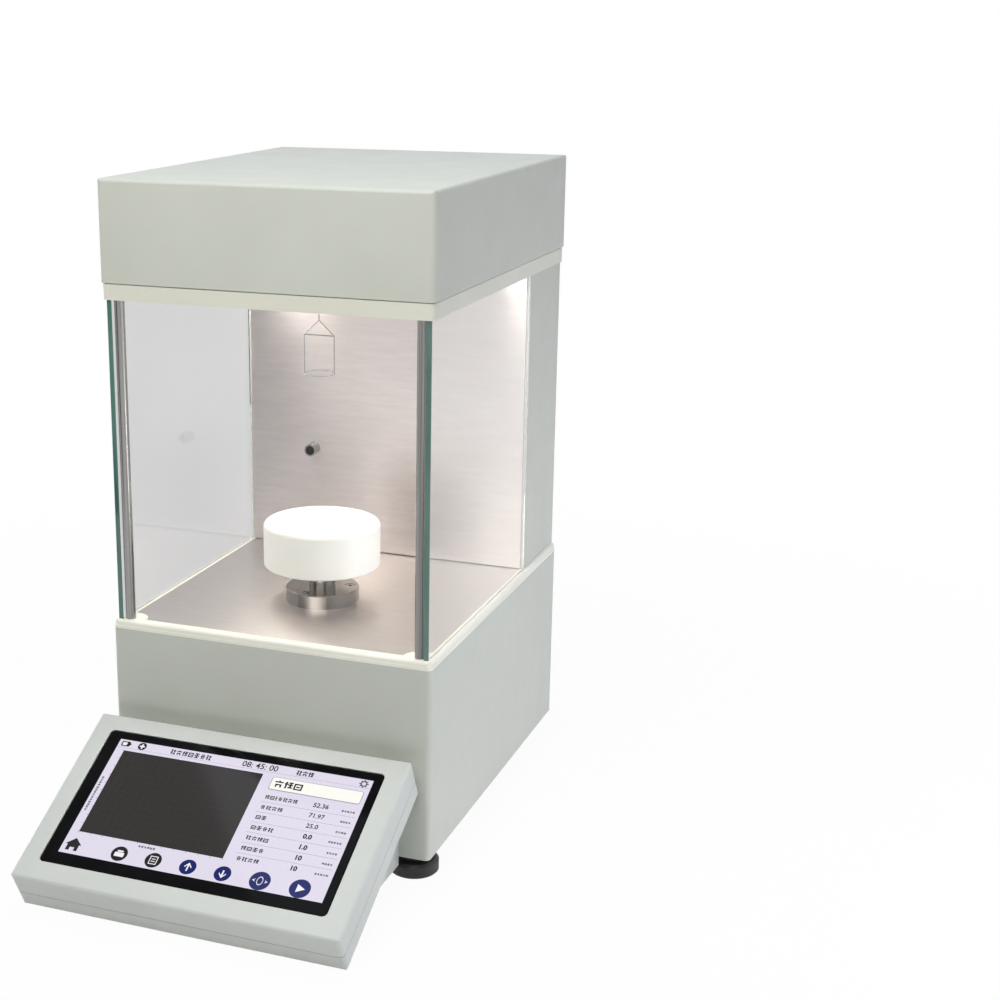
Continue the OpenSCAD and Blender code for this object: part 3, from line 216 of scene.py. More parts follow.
def drawn_bar(name, colour, roughness):
    """Polished bright-drawn bar: long streaks down its length, partly real drawing marks and
    partly painted reflection, light and dark bands standing in for what the polished bar mirrors.
    """
    f = Finish(name, colour, roughness, 1.0)
    streaks_and_painted_bands = f.noise(1.0, 3, 0.6, f.stretched((420, 420, 2.5)))
    # Painted reflection: the wide swing of the streaks from dark to light stands in for the
    # bright and dark bands that a polished bar mirrors. Roughness and bump keep the real drawing
    # streaks.
    f.tone(streaks_and_painted_bands, shade(colour, 0.62), shade(colour, 1.45), 0.32, 0.68)
    f.wear(streaks_and_painted_bands, roughness - 0.03, roughness + 0.06)
    f.bump(streaks_and_painted_bands, 0.01 * MM, 0.25)
    return f.mat


def plain_metal(name, colour, roughness):
    """Machined or plated metal with soft blotches and fine scratches."""
    f = Finish(name, colour, roughness, 1.0)
    f.tone(f.noise(35, 5, 0.6), shade(colour, 0.88), shade(colour, 1.08))
    f.wear(f.noise(180, 4), roughness - 0.06, roughness + 0.10)
    f.bump(f.noise(1.0, 3, 0.6, f.stretched((900, 40, 900))), 0.01 * MM, 0.3)
    return f.mat


def moulded_plastic(name, colour, roughness, spark=1700):
    """Moulded plastic with the fine spark texture of its tool."""
    f = Finish(name, colour, roughness)
    f.tone(f.noise(45, 3), shade(colour, 0.85), shade(colour, 1.2))
    f.wear(f.noise(220, 3), roughness - 0.07, roughness + 0.09)
    f.bump(f.noise(spark, 2), 0.03 * MM, 0.4)
    return f.mat


def turned_plastic():
    """White acetal, fine turned: faint lines round its wall, a soft sheen on top."""
    colour = chip(246, 244, 240)
    f = Finish("turned_white_plastic", colour, 0.36, Subsurface_Weight=0.1,
               Subsurface_Scale=3 * MM)
    f.tone(f.noise(20, 3), shade(colour, 0.975), shade(colour, 1.0))
    f.wear(f.noise(90, 3), 0.32, 0.42)
    f.bump(f.noise(1.0, 2, 0.5, f.stretched((12, 12, 1500))), 0.01 * MM, 0.2)
    return f.mat


def circuit_board():
    """Green laminate with copper tracks under the lacquer."""
    green = chip(24, 92, 56)
    f = Finish("circuit_board", green, 0.38)
    b = f.nt.nodes.new("ShaderNodeTexBrick")
    b.inputs["Scale"].default_value = 260
    b.inputs["Mortar Size"].default_value = 0.03
    b.inputs["Color1"].default_value = green
    b.inputs["Color2"].default_value = shade(green, 0.9)
    b.inputs["Mortar"].default_value = chip(62, 132, 84)
    f.nt.links.new(f.place, b.inputs["Vector"])
    f.nt.links.new(b.outputs["Color"], f.bsdf.inputs["Base Color"])
    f.wear(f.noise(80, 3), 0.30, 0.45)
    f.bump(b.outputs["Fac"], 0.03 * MM, 0.4)
    return f.mat


def pane_glass():
    f = Finish("pane_glass", (0.91, 0.915, 0.915, 1), 0.0, Transmission_Weight=1.0, IOR=1.45)
    f.wear(f.noise(18, 4), 0.0, 0.012, 0.4, 0.8)
    return f.mat


def pane_edge():
    """The ground edge of the glass, seen into its green depth."""
    deep, pale = chip(48, 94, 84), chip(104, 144, 134)
    f = Finish("pane_edge", deep, 0.12, Specular_IOR_Level=0.7)
    f.tone(f.noise(1.0, 3, 0.6, f.stretched((20, 260, 9))), deep, pale, 0.3, 0.75)
    f.wear(f.noise(1.0, 2, 0.5, f.stretched((600, 600, 12))), 0.06, 0.22)
    f.bump(f.noise(1.0, 2, 0.5, f.stretched((600, 600, 12))), 0.02 * MM, 0.3)
    return f.mat


def screen_layer(name, colour, glow):
    """A lit part of the picture under the touch glass, with the faint grain of its cells."""
    f = Finish(name, shade(colour, 0.05), 0.07, Emission_Strength=glow,
               Specular_IOR_Level=0.1)
    cells = f.noise(1400, 1)
    f.tone(cells, shade(colour, 0.02), shade(colour, 0.05))
    f.nt.links.new(f.ramp(cells, [(0.3, shade(colour, 0.97)), (0.7, shade(colour, 1.0))]),
                   f.bsdf.inputs["Emission Color"])
    return f.mat


def black_glass():
    """Black printed cover glass with faint finger haze."""
    f = Finish("black_cover_glass", (0.005, 0.005, 0.006, 1), 0.05, Specular_IOR_Level=0.03)
    f.tone(f.noise(30, 4), (0.004, 0.004, 0.005, 1), (0.007, 0.007, 0.008, 1))
    f.wear(f.noise(26, 5, 0.6), 0.03, 0.12, 0.4, 0.75)
    return f.mat


def light_cover():
    f = Finish("light_cover", chip(255, 250, 240), 0.4, Emission_Strength=22.0)
    spots = f.noise(1.0, 1, 0.5, f.stretched((20, 110, 20)))
    f.nt.links.new(f.ramp(spots, [(0.3, (1.0, 0.93, 0.82, 1)), (0.7, (1.0, 0.98, 0.94, 1))]),
                   f.bsdf.inputs["Emission Color"])
    f.tone(spots, chip(238, 232, 220), chip(255, 250, 242))
    return f.mat


COVER = powder_coat("painted_cover", chip(206, 208, 201))
CONSOLE_PAINT = powder_coat("console_paint", chip(213, 215, 213), 1.0)
# Deck and ceiling plate are one ivory plastic in two copies: the deck's copy is painted lighter
# (painted light), and the ceiling plate's copy is painted darker (painted shade).
IVORY_DECK_PAINTED_LIGHT = ivory_plate("ivory_deck_painted_light", chip(250, 248, 239))
IVORY_CEILING_PAINTED_SHADE = ivory_plate("ivory_ceiling_painted_shade", chip(229, 228, 217))
PANEL_STEEL = brushed_sheet("brushed_panel", (0.74, 0.685, 0.675, 1), 0.35, "Z")
FLOOR_STEEL = brushed_sheet("brushed_floor", (0.66, 0.615, 0.59, 1), 0.35, "Y")
STEEL = turned_steel("turned_steel", (0.42, 0.40, 0.38, 1), 0.18)
POST_STEEL = drawn_bar("post_steel", (0.28, 0.275, 0.265, 1), 0.16)
PLATED = plain_metal("plated_steel", (0.46, 0.46, 0.46, 1), 0.38)
ALUMINIUM = plain_metal("machined_aluminium", (0.66, 0.67, 0.68, 1), 0.33)
BRASS = plain_metal("turned_brass", (0.62, 0.46, 0.20, 1), 0.28)
# The feet's black is darker than the other black plastic. It is partly their black rubber and
# partly painted shade for the shadow under the base.
FOOT_BLACK_PAINTED_SHADE = moulded_plastic("foot_black_painted_shade", chip(13, 13, 15), 0.5)
BLACK = moulded_plastic("moulded_black", chip(26, 26, 27), 0.45)
RUBBER = moulded_plastic("pad_rubber", chip(24, 24, 24), 0.75, 900)
WHITE = turned_plastic()
BOARD = circuit_board()
DUCT = moulded_plastic("duct_plastic", chip(178, 178, 182), 0.5)
PANE = pane_glass()
EDGE = pane_edge()
COVER_GLASS = black_glass()
LIGHT = light_cover()
RING = turned_steel("drawn_ring_wire", (0.42, 0.42, 0.43, 1), 0.24)

DRESS = {
    COVER: ["base_cover", "head_cover", "column_shell"],
    CONSOLE_PAINT: ["console_upper", "console_lower", "console_stand"],
    IVORY_DECK_PAINTED_LIGHT: ["deck_plate"],
    IVORY_CEILING_PAINTED_SHADE: ["ceiling_plate"],
    PANEL_STEEL: ["back_panel"],
    FLOOR_STEEL: ["chamber_floor"],
    POST_STEEL: ["post_left", "post_right"],
    STEEL: ["lift_stem", "stem_flange", "flange_screws", "probe_sleeve", "guide_rods",
            "lead_screw", "motor_shaft", "ring_hanger"],
    PLATED: ["stand_screws", "base_screws", "base_plate", "guide_bushes",
             "stud_bushes", "power_supply", "screen_module", "data_port"],
    ALUMINIUM: ["lift_carriage", "lift_top_plate", "motor_bracket", "shaft_coupling",
                "load_cell", "load_cell_block"],
    BRASS: ["lift_nut"],
    FOOT_BLACK_PAINTED_SHADE: ["foot_front_left", "foot_front_right", "foot_rear_left", "foot_rear_right"],
    BLACK: ["probe_tip", "mains_inlet", "switch_bezel", "power_rocker", "lift_motor"],
    RUBBER: ["console_pads"],
    WHITE: ["sample_table"],
    BOARD: ["main_board", "sensor_board", "console_board"],
    DUCT: ["cable_duct"],
    LIGHT: ["light_bar_left", "light_bar_right"],
    RING: ["measuring_ring"],
}
for finish, nodes in DRESS.items():
    for node in nodes:
        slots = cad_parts[node].data.materials
        for i in range(len(slots)):
            slots[i] = finish
        if not slots:
            slots.append(finish)

# ---------------------------------------------------------------- mesh helpers

FLAT_BELOW = 30  # degrees: edges sharper than this stay crisp
TURNED_BELOW = 40


def make_piece(name, mesh, body, replaces=()):
    """Links a finished mesh and gives it its body and what it stands for."""
    obj = bpy.data.objects.new(name, mesh)
    bpy.context.scene.collection.objects.link(obj)
    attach(obj, body)
    if replaces:
        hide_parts(*replaces)
    return obj


def mesh_from(bm, name, materials, smooth_below=None):
    mesh = bpy.data.meshes.new(name)
    bm.normal_update()
    bm.to_mesh(mesh)
    bm.free()
    for m in materials:
        mesh.materials.append(m)
    if smooth_below is not None:
        for p in mesh.polygons:
            p.use_smooth = True
        mesh.set_sharp_from_angle(angle=math.radians(smooth_below))
    return mesh


def round_outline(w, l, r, steps=8):
    """Corner points of a rectangle with round corners, centred on 0, anticlockwise."""
    pts = []
    for cx, cy, a in ((w / 2 - r, l / 2 - r, 0), (r - w / 2, l / 2 - r, 90),
                      (r - w / 2, r - l / 2, 180), (w / 2 - r, r - l / 2, 270)):
        for i in range(steps + 1):
            t = math.radians(a + 90 * i / steps)
            pts.append((cx + r * math.cos(t), cy + r * math.sin(t)))
    return pts


# ---------------------------------------------------------------- glass panes


def glass_pane(name, node, arris=0.35 * MM):
    """Float glass with ground edges: clear faces, green arrises and edges."""
    lo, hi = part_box(node)
    bm = bmesh.new()
    bmesh.ops.create_cube(bm, size=1.0)
    size, mid = hi - lo, (hi + lo) / 2
    bmesh.ops.transform(bm, verts=bm.verts,
                        matrix=Matrix.Translation(mid) @ Matrix.Diagonal((*size, 1)))
    bmesh.ops.bevel(bm, geom=bm.edges[:], offset=arris, segments=1, affect="EDGES")
    bm.normal_update()
    for f in bm.faces:
        f.material_index = 1 if f.normal.y < -0.5 else 0
    obj = make_piece(name, mesh_from(bm, name, [PANE, EDGE]), "frame", [node])
    obj.visible_shadow = False


glass_pane("left_pane", "glass_left")
glass_pane("right_pane", "glass_right")

# ---------------------------------------------------------------- touch glass and its picture

SLOPE = slope_frame()
FACE_C = CONSOLE_T - GLASS_SUNK
FACE_B = CONSOLE_L / 2 + GLASS_UP


def cover_glass():
    """Cover glass with a ground, chamfered arris round its upper edge, in the same black glass.
    """
    bm = bmesh.new()
    chamfer = 0.45 * MM
    rings = []
    for inset, c in ((0, FACE_C - GLASS_T), (0, FACE_C - chamfer), (chamfer, FACE_C)):
        pts = round_outline(GLASS_W - 2 * inset, GLASS_L - 2 * inset, GLASS_ROUND - inset)
        rings.append([bm.verts.new((x, FACE_B + y, c)) for x, y in pts])
    for a, b in zip(rings, rings[1:]):
        for i in range(len(a)):
            j = (i + 1) % len(a)
            bm.faces.new((a[i], a[j], b[j], b[i]))
    bm.faces.new(rings[-1])
    bm.faces.new(rings[0][::-1])
    bm.transform(SLOPE)
    make_piece("touch_cover_glass",
               mesh_from(bm, "touch_cover_glass", [COVER_GLASS], FLAT_BELOW),
               "frame", ["touch_glass"])


cover_glass()

# Screen picture, in millimetres from the glass's middle: x across, y up the slope.
# Each layer lies a little over the one before.
LIFT_PAPER, LIFT_FIELD, LIFT_INK, LIFT_MARK = 0.02, 0.035, 0.05, 0.065


class Print:
    """Flat shapes of one colour, collected on the screen and made into one mesh."""

    def __init__(self, name, colour, glow, lift):
        self.name, self.lift = name, lift
        self.material = screen_layer(name, colour, glow)
        self.bm = bmesh.new()

    def shape(self, points):
        vs = [self.bm.verts.new((x * MM, FACE_B + y * MM, FACE_C + self.lift * MM))
              for x, y in points]
        self.bm.faces.new(vs)

    def bar(self, x0, y0, x1, y1):
        self.shape([(x0, y0), (x1, y0), (x1, y1), (x0, y1)])

    def rounded(self, x0, y0, x1, y1, r):
        cx, cy = (x0 + x1) / 2, (y0 + y1) / 2
        self.shape([(cx + x, cy + y) for x, y in round_outline(x1 - x0, y1 - y0, r, 4)])

    def disc(self, cx, cy, r, n=40):
        self.shape([(cx + r * math.cos(math.tau * i / n), cy + r * math.sin(math.tau * i / n))
                    for i in range(n)])

    def hoop(self, cx, cy, r, width, n=32, squeeze=1.0):
        for i in range(n):
            a, b = math.tau * i / n, math.tau * (i + 1) / n
            self.shape([(cx + squeeze * q * math.cos(t), cy + q * math.sin(t))
                        for q, t in ((r, a), (r + width, a), (r + width, b), (r, b))])

    def digits(self, text, x, y, size, bold):
        """Figures in the plain font, centred on a point."""
        curve = bpy.data.curves.new("digits", "FONT")
        curve.body = text
        curve.size = size * MM
        curve.align_x = curve.align_y = "CENTER"
        curve.offset = bold * MM
        curve.resolution_u = 3
        obj = bpy.data.objects.new("digits", curve)
        bpy.context.scene.collection.objects.link(obj)
        bpy.context.view_layer.update()
        mesh = bpy.data.meshes.new_from_object(obj.evaluated_get(
            bpy.context.evaluated_depsgraph_get()))
        mesh.transform(Matrix.Translation((x * MM, FACE_B + y * MM, FACE_C + self.lift * MM)))
        self.bm.from_mesh(mesh)
        bpy.data.objects.remove(obj)
        bpy.data.curves.remove(curve)
        bpy.data.meshes.remove(mesh)

    def done(self):
        self.bm.transform(SLOPE)
        self.bm.normal_update()
        out = SLOPE.to_3x3() @ Vector((0, 0, 1))
        turned = [f for f in self.bm.faces if f.normal.dot(out) < 0]
        bmesh.ops.reverse_faces(self.bm, faces=turned)
        make_piece(self.name, mesh_from(self.bm, self.name, [self.material]),
                   "frame")


PAPER = Print("screen_paper", chip(232, 226, 243), 0.92, LIFT_PAPER)
FIELD = Print("screen_graph_field", chip(54, 50, 50), 0.9, LIFT_FIELD)
CREAM = Print("screen_name_box", chip(255, 253, 246), 0.97, LIFT_INK)
EDGING = Print("screen_rules", chip(168, 164, 178), 0.85, LIFT_FIELD)
INK = Print("screen_ink", chip(48, 46, 52), 0.7, LIFT_MARK)
NAVY = Print("screen_blue_keys", chip(28, 36, 104), 0.95, LIFT_INK)
DARK = Print("screen_black_keys", chip(38, 36, 38), 0.8, LIFT_INK)
MARK = Print("screen_key_marks", chip(246, 246, 252), 0.95, LIFT_MARK)

SCREEN_L, SCREEN_R, SCREEN_B, SCREEN_T = -77.9, 81.2, -40.4, 42.9
PAPER.bar(SCREEN_L, SCREEN_B, SCREEN_R, SCREEN_T)

# graph field with its frame and tick marks
GRAPH_L, GRAPH_B, GRAPH_R, GRAPH_T = -72.2, -24.9, 17.0, 35.1
TICK_NEAR, TICK_FAR, TICK_HALF = 0.2, 1.0, 0.12
FIELD.bar(GRAPH_L, GRAPH_B, GRAPH_R, GRAPH_T)
for i in range(11):
    y = GRAPH_B + (GRAPH_T - GRAPH_B) * i / 10
    INK.bar(GRAPH_L - TICK_FAR, y - TICK_HALF, GRAPH_L - TICK_NEAR, y + TICK_HALF)
for i in range(13):
    x = GRAPH_L + (GRAPH_R - GRAPH_L) * i / 12
    INK.bar(x - TICK_HALF, GRAPH_B - TICK_FAR, x + TICK_HALF, GRAPH_B - TICK_NEAR)


# Strokes of six made-up marks in a unit square, each as x0, y0, x1, y1
MARKS = [
    [(0, 0.42, 1, 0.56), (0.1, 0.86, 0.9, 1), (0.42, 0, 0.58, 1), (0.1, 0, 0.9, 0.12)],
    [(0, 0, 0.13, 0.9), (0, 0.8, 1, 0.93), (0.87, 0, 1, 0.9), (0.3, 0.38, 0.7, 0.5),
     (0, 0, 1, 0.12)],
    [(0.12, 0, 0.26, 1), (0, 0.62, 0.42, 0.75), (0.5, 0.1, 1, 0.22), (0.5, 0.5, 1, 0.62),
     (0.5, 0.86, 1, 0.98), (0.68, 0.1, 0.82, 0.98)],
    [(0, 0.72, 1, 0.84), (0.43, 0.72, 0.57, 1), (0.15, 0.3, 0.85, 0.42), (0.15, 0, 0.28, 0.42),
     (0.72, 0, 0.85, 0.42)],
    [(0, 0.86, 0.4, 0.98), (0.14, 0, 0.27, 0.98), (0, 0.34, 0.4, 0.46), (0.55, 0.7, 1, 0.82),
     (0.7, 0, 0.83, 1), (0.55, 0, 1, 0.12)],
    [(0.06, 0.5, 0.94, 0.62), (0.2, 0.82, 0.8, 0.95), (0.28, 0, 0.42, 0.6), (0.64, 0, 0.78, 0.6)],
]


def label(ink, x, y, widths, h, gap=0.45, thick=0.16, upright=False):
    """A word's worth of made-up marks, as small print looks from afar."""
    along = 0.0
    for i, w in enumerate(widths):
        pick = i * 5 + int(abs(x) * 7 + abs(y) * 3)  # so that each word has a mix of its own
        for x0, y0, x1, y1 in MARKS[pick % len(MARKS)]:
            u0, u1 = along + w * x0 - thick / 2, along + w * x1 + thick / 2
            v0, v1 = h * (y0 - 0.5) - thick / 2, h * (y1 - 0.5) + thick / 2
            if upright:
                ink.bar(x - v1, y + u0, x - v0, y + u1)
            else:
                ink.bar(x + u0, y + v0, x + u1, y + v1)
        along += w + gap


# top line: two small icons, the time, and a settings wheel
TOP_Y, WHEEL_X = 39.8, 76.4
DARK.rounded(-76.0, 38.1, -70.4, 41.7, 0.8)
MARK.rounded(-75.2, 38.8, -72.4, 41.0, 0.4)
DARK.bar(-70.4, 39.2, -69.7, 40.6)
DARK.disc(-62.4, 39.9, 2.7)
MARK.bar(-64.0, 39.4, -60.8, 40.4)
MARK.bar(-62.9, 38.2, -61.9, 41.6)
INK.digits("08: 45: 00", 13.2, TOP_Y, 5.6, 0.07)
label(INK, -43.6, TOP_Y, [2.9] * 7, 3.2, 0.9, 0.28)
label(INK, 35.9, TOP_Y, [2.8] * 3, 3.2, 0.8, 0.28)
INK.hoop(WHEEL_X, TOP_Y, 1.3, 0.7, 16)
for i in range(8):
    a = math.tau * i / 8
    INK.disc(WHEEL_X + 2.4 * math.cos(a), TOP_Y + 2.4 * math.sin(a), 0.42, 8)
EDGING.bar(SCREEN_L, 37.0, SCREEN_R, 37.15)

# name box and value rows
CREAM.rounded(23.9, 25.9, 78.3, 34.2, 1.0)
EDGING.rounded(23.5, 25.3, 78.7, 34.5, 1.3)
label(INK, 26.2, 30.1, [4.8] * 3, 4.4, 1.1, 0.35)
ROW_TOP, ROW_PITCH = 20.0, 7.15
ROWS = [("52.36", [2.3, 2.3, 1.0, 2.3, 2.3, 2.3, 2.3]), ("71.97", [2.7] * 4),
        ("25.0", [2.7] * 2), ("0.0", [2.7] * 4), ("1.0", [2.7] * 4), ("10", [2.7] * 4),
        ("10", [2.7] * 4)]
for i, (value, word) in enumerate(ROWS):
    y = ROW_TOP - ROW_PITCH * i
    label(INK, 24.4, y, word, 2.5, 0.75, 0.24)
    INK.digits(value, 58.0, y, 4.2, 0.2 if i > 2 else 0.09)
    label(INK, 72.2 if i % 3 else 70.6, y - 0.6, [1.1] * (5 if i % 3 == 0 else 4), 1.1, 0.5)
    if i < len(ROWS) - 1:
        EDGING.bar(22.9, y - 3.75, 79.4, y - 3.55)
label(INK, -33.6, -27.3, [1.3] * 6, 1.2, 0.5)
label(INK, -75.7, -10.4, [1.3] * 14, 1.2, 0.5, upright=True)

# home key
INK.shape([(-76.2, -34.2), (-66.2, -34.2), (-71.2, -29.6)])
INK.bar(-74.8, -38.2, -72.6, -34.2)
INK.bar(-69.8, -38.2, -67.6, -34.2)
INK.bar(-72.6, -36.0, -69.8, -34.2)

# round keys: two black ones (save, list), four blue ones (up, down, turn, start)
KEY_Y = -34.4
SAVE_X, LIST_X, UP_X, DOWN_X, TURN_X, START_X = -42.1, -21.1, 0.0, 20.9, 43.0, 66.3
SMALL_KEY, LARGE_KEY = 4.9, 6.0
for x in (SAVE_X, LIST_X):
    DARK.disc(x, KEY_Y, SMALL_KEY)
MARK.rounded(SAVE_X - 2.9, KEY_Y - 1.9, SAVE_X + 2.9, KEY_Y + 0.9, 0.5)
MARK.bar(SAVE_X - 1.8, KEY_Y + 1.2, SAVE_X + 1.8, KEY_Y + 2.3)
for x0, y0, x1, y1 in ((-2.4, -2.7, -1.9, 2.7), (1.9, -2.7, 2.4, 2.7), (-1.9, -2.7, 1.9, -2.2),
                       (-1.9, 2.2, 1.9, 2.7), (-1.2, 0.5, 1.2, 1.0), (-1.2, -1.0, 1.2, -0.5)):
    MARK.bar(LIST_X + x0, KEY_Y + y0, LIST_X + x1, KEY_Y + y1)
for x, r in ((UP_X, SMALL_KEY), (DOWN_X, SMALL_KEY), (TURN_X, LARGE_KEY), (START_X, LARGE_KEY)):
    NAVY.disc(x, KEY_Y, r)
for x, way in ((UP_X, 1), (DOWN_X, -1)):
    MARK.bar(x - 0.45, KEY_Y - 2.6, x + 0.45, KEY_Y + 2.2)
    MARK.shape([(x + dx, KEY_Y + dy * way)
                for dx, dy in ((-2.1, 0.4), (0, 2.9), (2.1, 0.4), (2.1, -0.5), (0, 1.7),
                               (-2.1, -0.5))])
MARK.hoop(TURN_X, KEY_Y, 2.3, 0.55, 32, 0.62)
for side in (-1, 1):
    MARK.shape([(TURN_X + side * dx, KEY_Y + dy)
                for dx, dy in ((2.6, -1.1), (4.6, 0), (2.6, 1.1), (3.4, 0))])
MARK.shape([(START_X - 1.9, KEY_Y - 2.6), (START_X + 2.9, KEY_Y), (START_X - 1.9, KEY_Y + 2.6)])

for layer in (PAPER, FIELD, CREAM, EDGING, INK, NAVY, DARK, MARK):
    layer.done()

# ---------------------------------------------------------------- repeated small parts


def node_tree(name, sizes):
    """An empty geometry tree with a number input for each size."""
    t = bpy.data.node_groups.new(name, "GeometryNodeTree")
    t.interface.new_socket("Geometry", in_out="INPUT", socket_type="NodeSocketGeometry")
    ids = {}
    for label_text, value in sizes.items():
        s = t.interface.new_socket(label_text, in_out="INPUT", socket_type="NodeSocketFloat")
        s.default_value = value
        ids[label_text] = s.identifier
    t.interface.new_socket("Geometry", in_out="OUTPUT", socket_type="NodeSocketGeometry")
    return t, t.nodes.new("NodeGroupInput"), t.nodes.new("NodeGroupOutput"), ids


def grow(name, tree, ids, values, placing, body):
    """Runs a geometry tree on an empty mesh and keeps the result as a plain mesh."""
    seed = bpy.data.objects.new(name + "_seed", bpy.data.meshes.new(name + "_seed"))
    bpy.context.scene.collection.objects.link(seed)
    mod = seed.modifiers.new("build", "NODES")
    mod.node_group = tree
    for label_text, value in values.items():
        mod[ids[label_text]] = value
    bpy.context.view_layer.update()
    mesh = bpy.data.meshes.new_from_object(seed.evaluated_get(
        bpy.context.evaluated_depsgraph_get()))
    mesh.name = name
    bpy.data.objects.remove(seed)
    mesh.transform(placing)
    make_piece(name, mesh, body)


def graph_grid_tree(material):
    """Fine upright and level lines across the graph field."""
    t, start, end, ids = node_tree("graph_grid", {
        "Width": 0.089, "Height": 0.060, "Pitch": 0.005, "Line": 0.00016})
    n, link = t.nodes, t.links
    join = n.new("GeometryNodeJoinGeometry")
    for along, across in (("Width", "Height"), ("Height", "Width")):
        count = n.new("ShaderNodeMath")
        count.operation = "DIVIDE"
        link.new(start.outputs[along], count.inputs[0])
        link.new(start.outputs["Pitch"], count.inputs[1])
        row = n.new("GeometryNodeMeshLine")
        step, shift, size = (n.new("ShaderNodeCombineXYZ") for _ in range(3))
        half = n.new("ShaderNodeMath")
        half.operation = "MULTIPLY"
        half.inputs[1].default_value = -0.5
        link.new(start.outputs[along], half.inputs[0])
        axis = "X" if along == "Width" else "Y"
        other = "Y" if axis == "X" else "X"
        link.new(start.outputs["Pitch"], step.inputs[axis])
        link.new(half.outputs[0], shift.inputs[axis])
        link.new(count.outputs[0], row.inputs["Count"])
        link.new(step.outputs[0], row.inputs["Offset"])
        link.new(shift.outputs[0], row.inputs["Start Location"])
        strip = n.new("GeometryNodeMeshGrid")
        strip.inputs["Vertices X"].default_value = 2
        strip.inputs["Vertices Y"].default_value = 2
        link.new(start.outputs["Line"], strip.inputs["Size " + axis])
        link.new(start.outputs[across], strip.inputs["Size " + other])
        place = n.new("GeometryNodeInstanceOnPoints")
        link.new(row.outputs["Mesh"], place.inputs["Points"])
        link.new(strip.outputs["Mesh"], place.inputs["Instance"])
        link.new(place.outputs["Instances"], join.inputs["Geometry"])
    real = n.new("GeometryNodeRealizeInstances")
    paint = n.new("GeometryNodeSetMaterial")
    paint.inputs["Material"].default_value = material
    link.new(join.outputs["Geometry"], real.inputs["Geometry"])
    link.new(real.outputs["Geometry"], paint.inputs["Geometry"])
    link.new(paint.outputs["Geometry"], end.inputs["Geometry"])
    return t, ids


tree, ids = graph_grid_tree(screen_layer("screen_grid_lines", chip(66, 62, 62), 0.9))
grow("screen_graph_grid", tree, ids,
     {"Width": (GRAPH_R - GRAPH_L) * MM, "Height": (GRAPH_T - GRAPH_B) * MM,
      "Pitch": 4.46 * MM, "Line": 0.14 * MM},
     SLOPE @ Matrix.Translation(((GRAPH_L + GRAPH_R) / 2 * MM,
                                 FACE_B + (GRAPH_B + GRAPH_T) / 2 * MM,
                                 FACE_C + LIFT_INK * MM)),
     "frame")

# ---------------------------------------------------------------- lift screw


def screw_thread():
    """Right-hand trapezoid thread of four starts on the lead screw, plain at both ends."""
    pitch, starts, depth = 2 * MM, 4, 0.6 * MM
    plain_end, in_coupling = 6 * MM, 5 * MM
    around, per_pitch = 48, 8  # points round the bar and rows to a pitch
    lo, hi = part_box("lead_screw")
    mid, r = (lo + hi) / 2, (hi.x - lo.x) / 2
    rows = round((hi.z - lo.z) / pitch * per_pitch)
    bm = bmesh.new()
    rings = []
    for k in range(rows + 1):
        z = lo.z + (hi.z - lo.z) * k / rows
        ends = min(z - lo.z - in_coupling, hi.z - z)
        cut = depth * min(1.0, max(0.0, (ends - plain_end) / pitch))
        ring = []
        for i in range(around):
            a = math.tau * i / around
            saw = abs(((z / pitch - starts * i / around) % 1.0) * 2 - 1)
            q = r - cut * min(1.0, max(0.0, saw * 2 - 0.5))
            ring.append(bm.verts.new((mid.x + q * math.cos(a), mid.y + q * math.sin(a), z)))
        rings.append(ring)
    for a, b in zip(rings, rings[1:]):
        for i in range(around):
            j = (i + 1) % around
            bm.faces.new((a[i], a[j], b[j], b[i]))
    bm.faces.new(rings[-1])
    bm.faces.new(rings[0][::-1])
    make_piece("lead_screw_thread", mesh_from(bm, "lead_screw_thread", [STEEL], TURNED_BELOW),
               "screw", ["lead_screw"])


screw_thread()

# ---------------------------------------------------------------- rear fittings


def block(bm, lo, hi, arris):
    """Adds a box between two corners, with its edges broken."""
    made = bmesh.ops.create_cube(bm, size=1.0)["verts"]
    lo, hi = Vector(lo), Vector(hi)
    bmesh.ops.transform(bm, verts=made, matrix=Matrix.Translation((lo + hi) / 2)
                        @ Matrix.Diagonal((*(hi - lo), 1)))
    edges = {e for v in made for e in v.link_edges}
    bmesh.ops.bevel(bm, geom=list(edges), offset=arris, segments=2, affect="EDGES")


def rear_face(node):
    """Middle of the face that a fitting shows at the back."""
    lo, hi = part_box(node)
    return Vector(((lo.x + hi.x) / 2, hi.y, (lo.z + hi.z) / 2))


def inlet_pins():
    """Three flat contact blades that stand in the socket's recess."""
    socket = rear_face("mains_inlet") + Vector((-5 * MM, -18 * MM, 0))
    rooted, length, half_w, half_h = 0.5, 13, 1, 2
    bm = bmesh.new()
    for x, z in ((-7, -2), (0, 2), (7, -2)):
        block(bm, socket + Vector((x - half_w, -rooted, z - half_h)) * MM,
              socket + Vector((x + half_w, length, z + half_h)) * MM, 0.4 * MM)
    make_piece("inlet_pins", mesh_from(bm, "inlet_pins", [BRASS], FLAT_BELOW), "frame")


def fuse_drawer():
    """Lid of the fuse drawer in its shallow recess, with a nail slot."""
    drawer = rear_face("mains_inlet") + Vector((15 * MM, 0, 0))
    half_w, back = 3.1, -0.65
    bm = bmesh.new()
    for z0, z1, front in ((-9.6, 6.6, -0.1), (7.9, 9.6, -0.1), (6.6, 7.9, -0.45)):
        block(bm, drawer + Vector((-half_w, back, z0)) * MM,
              drawer + Vector((half_w, front, z1)) * MM, 0.1 * MM)
    make_piece("fuse_drawer_lid", mesh_from(bm, "fuse_drawer_lid", [BLACK], FLAT_BELOW),
               "frame")


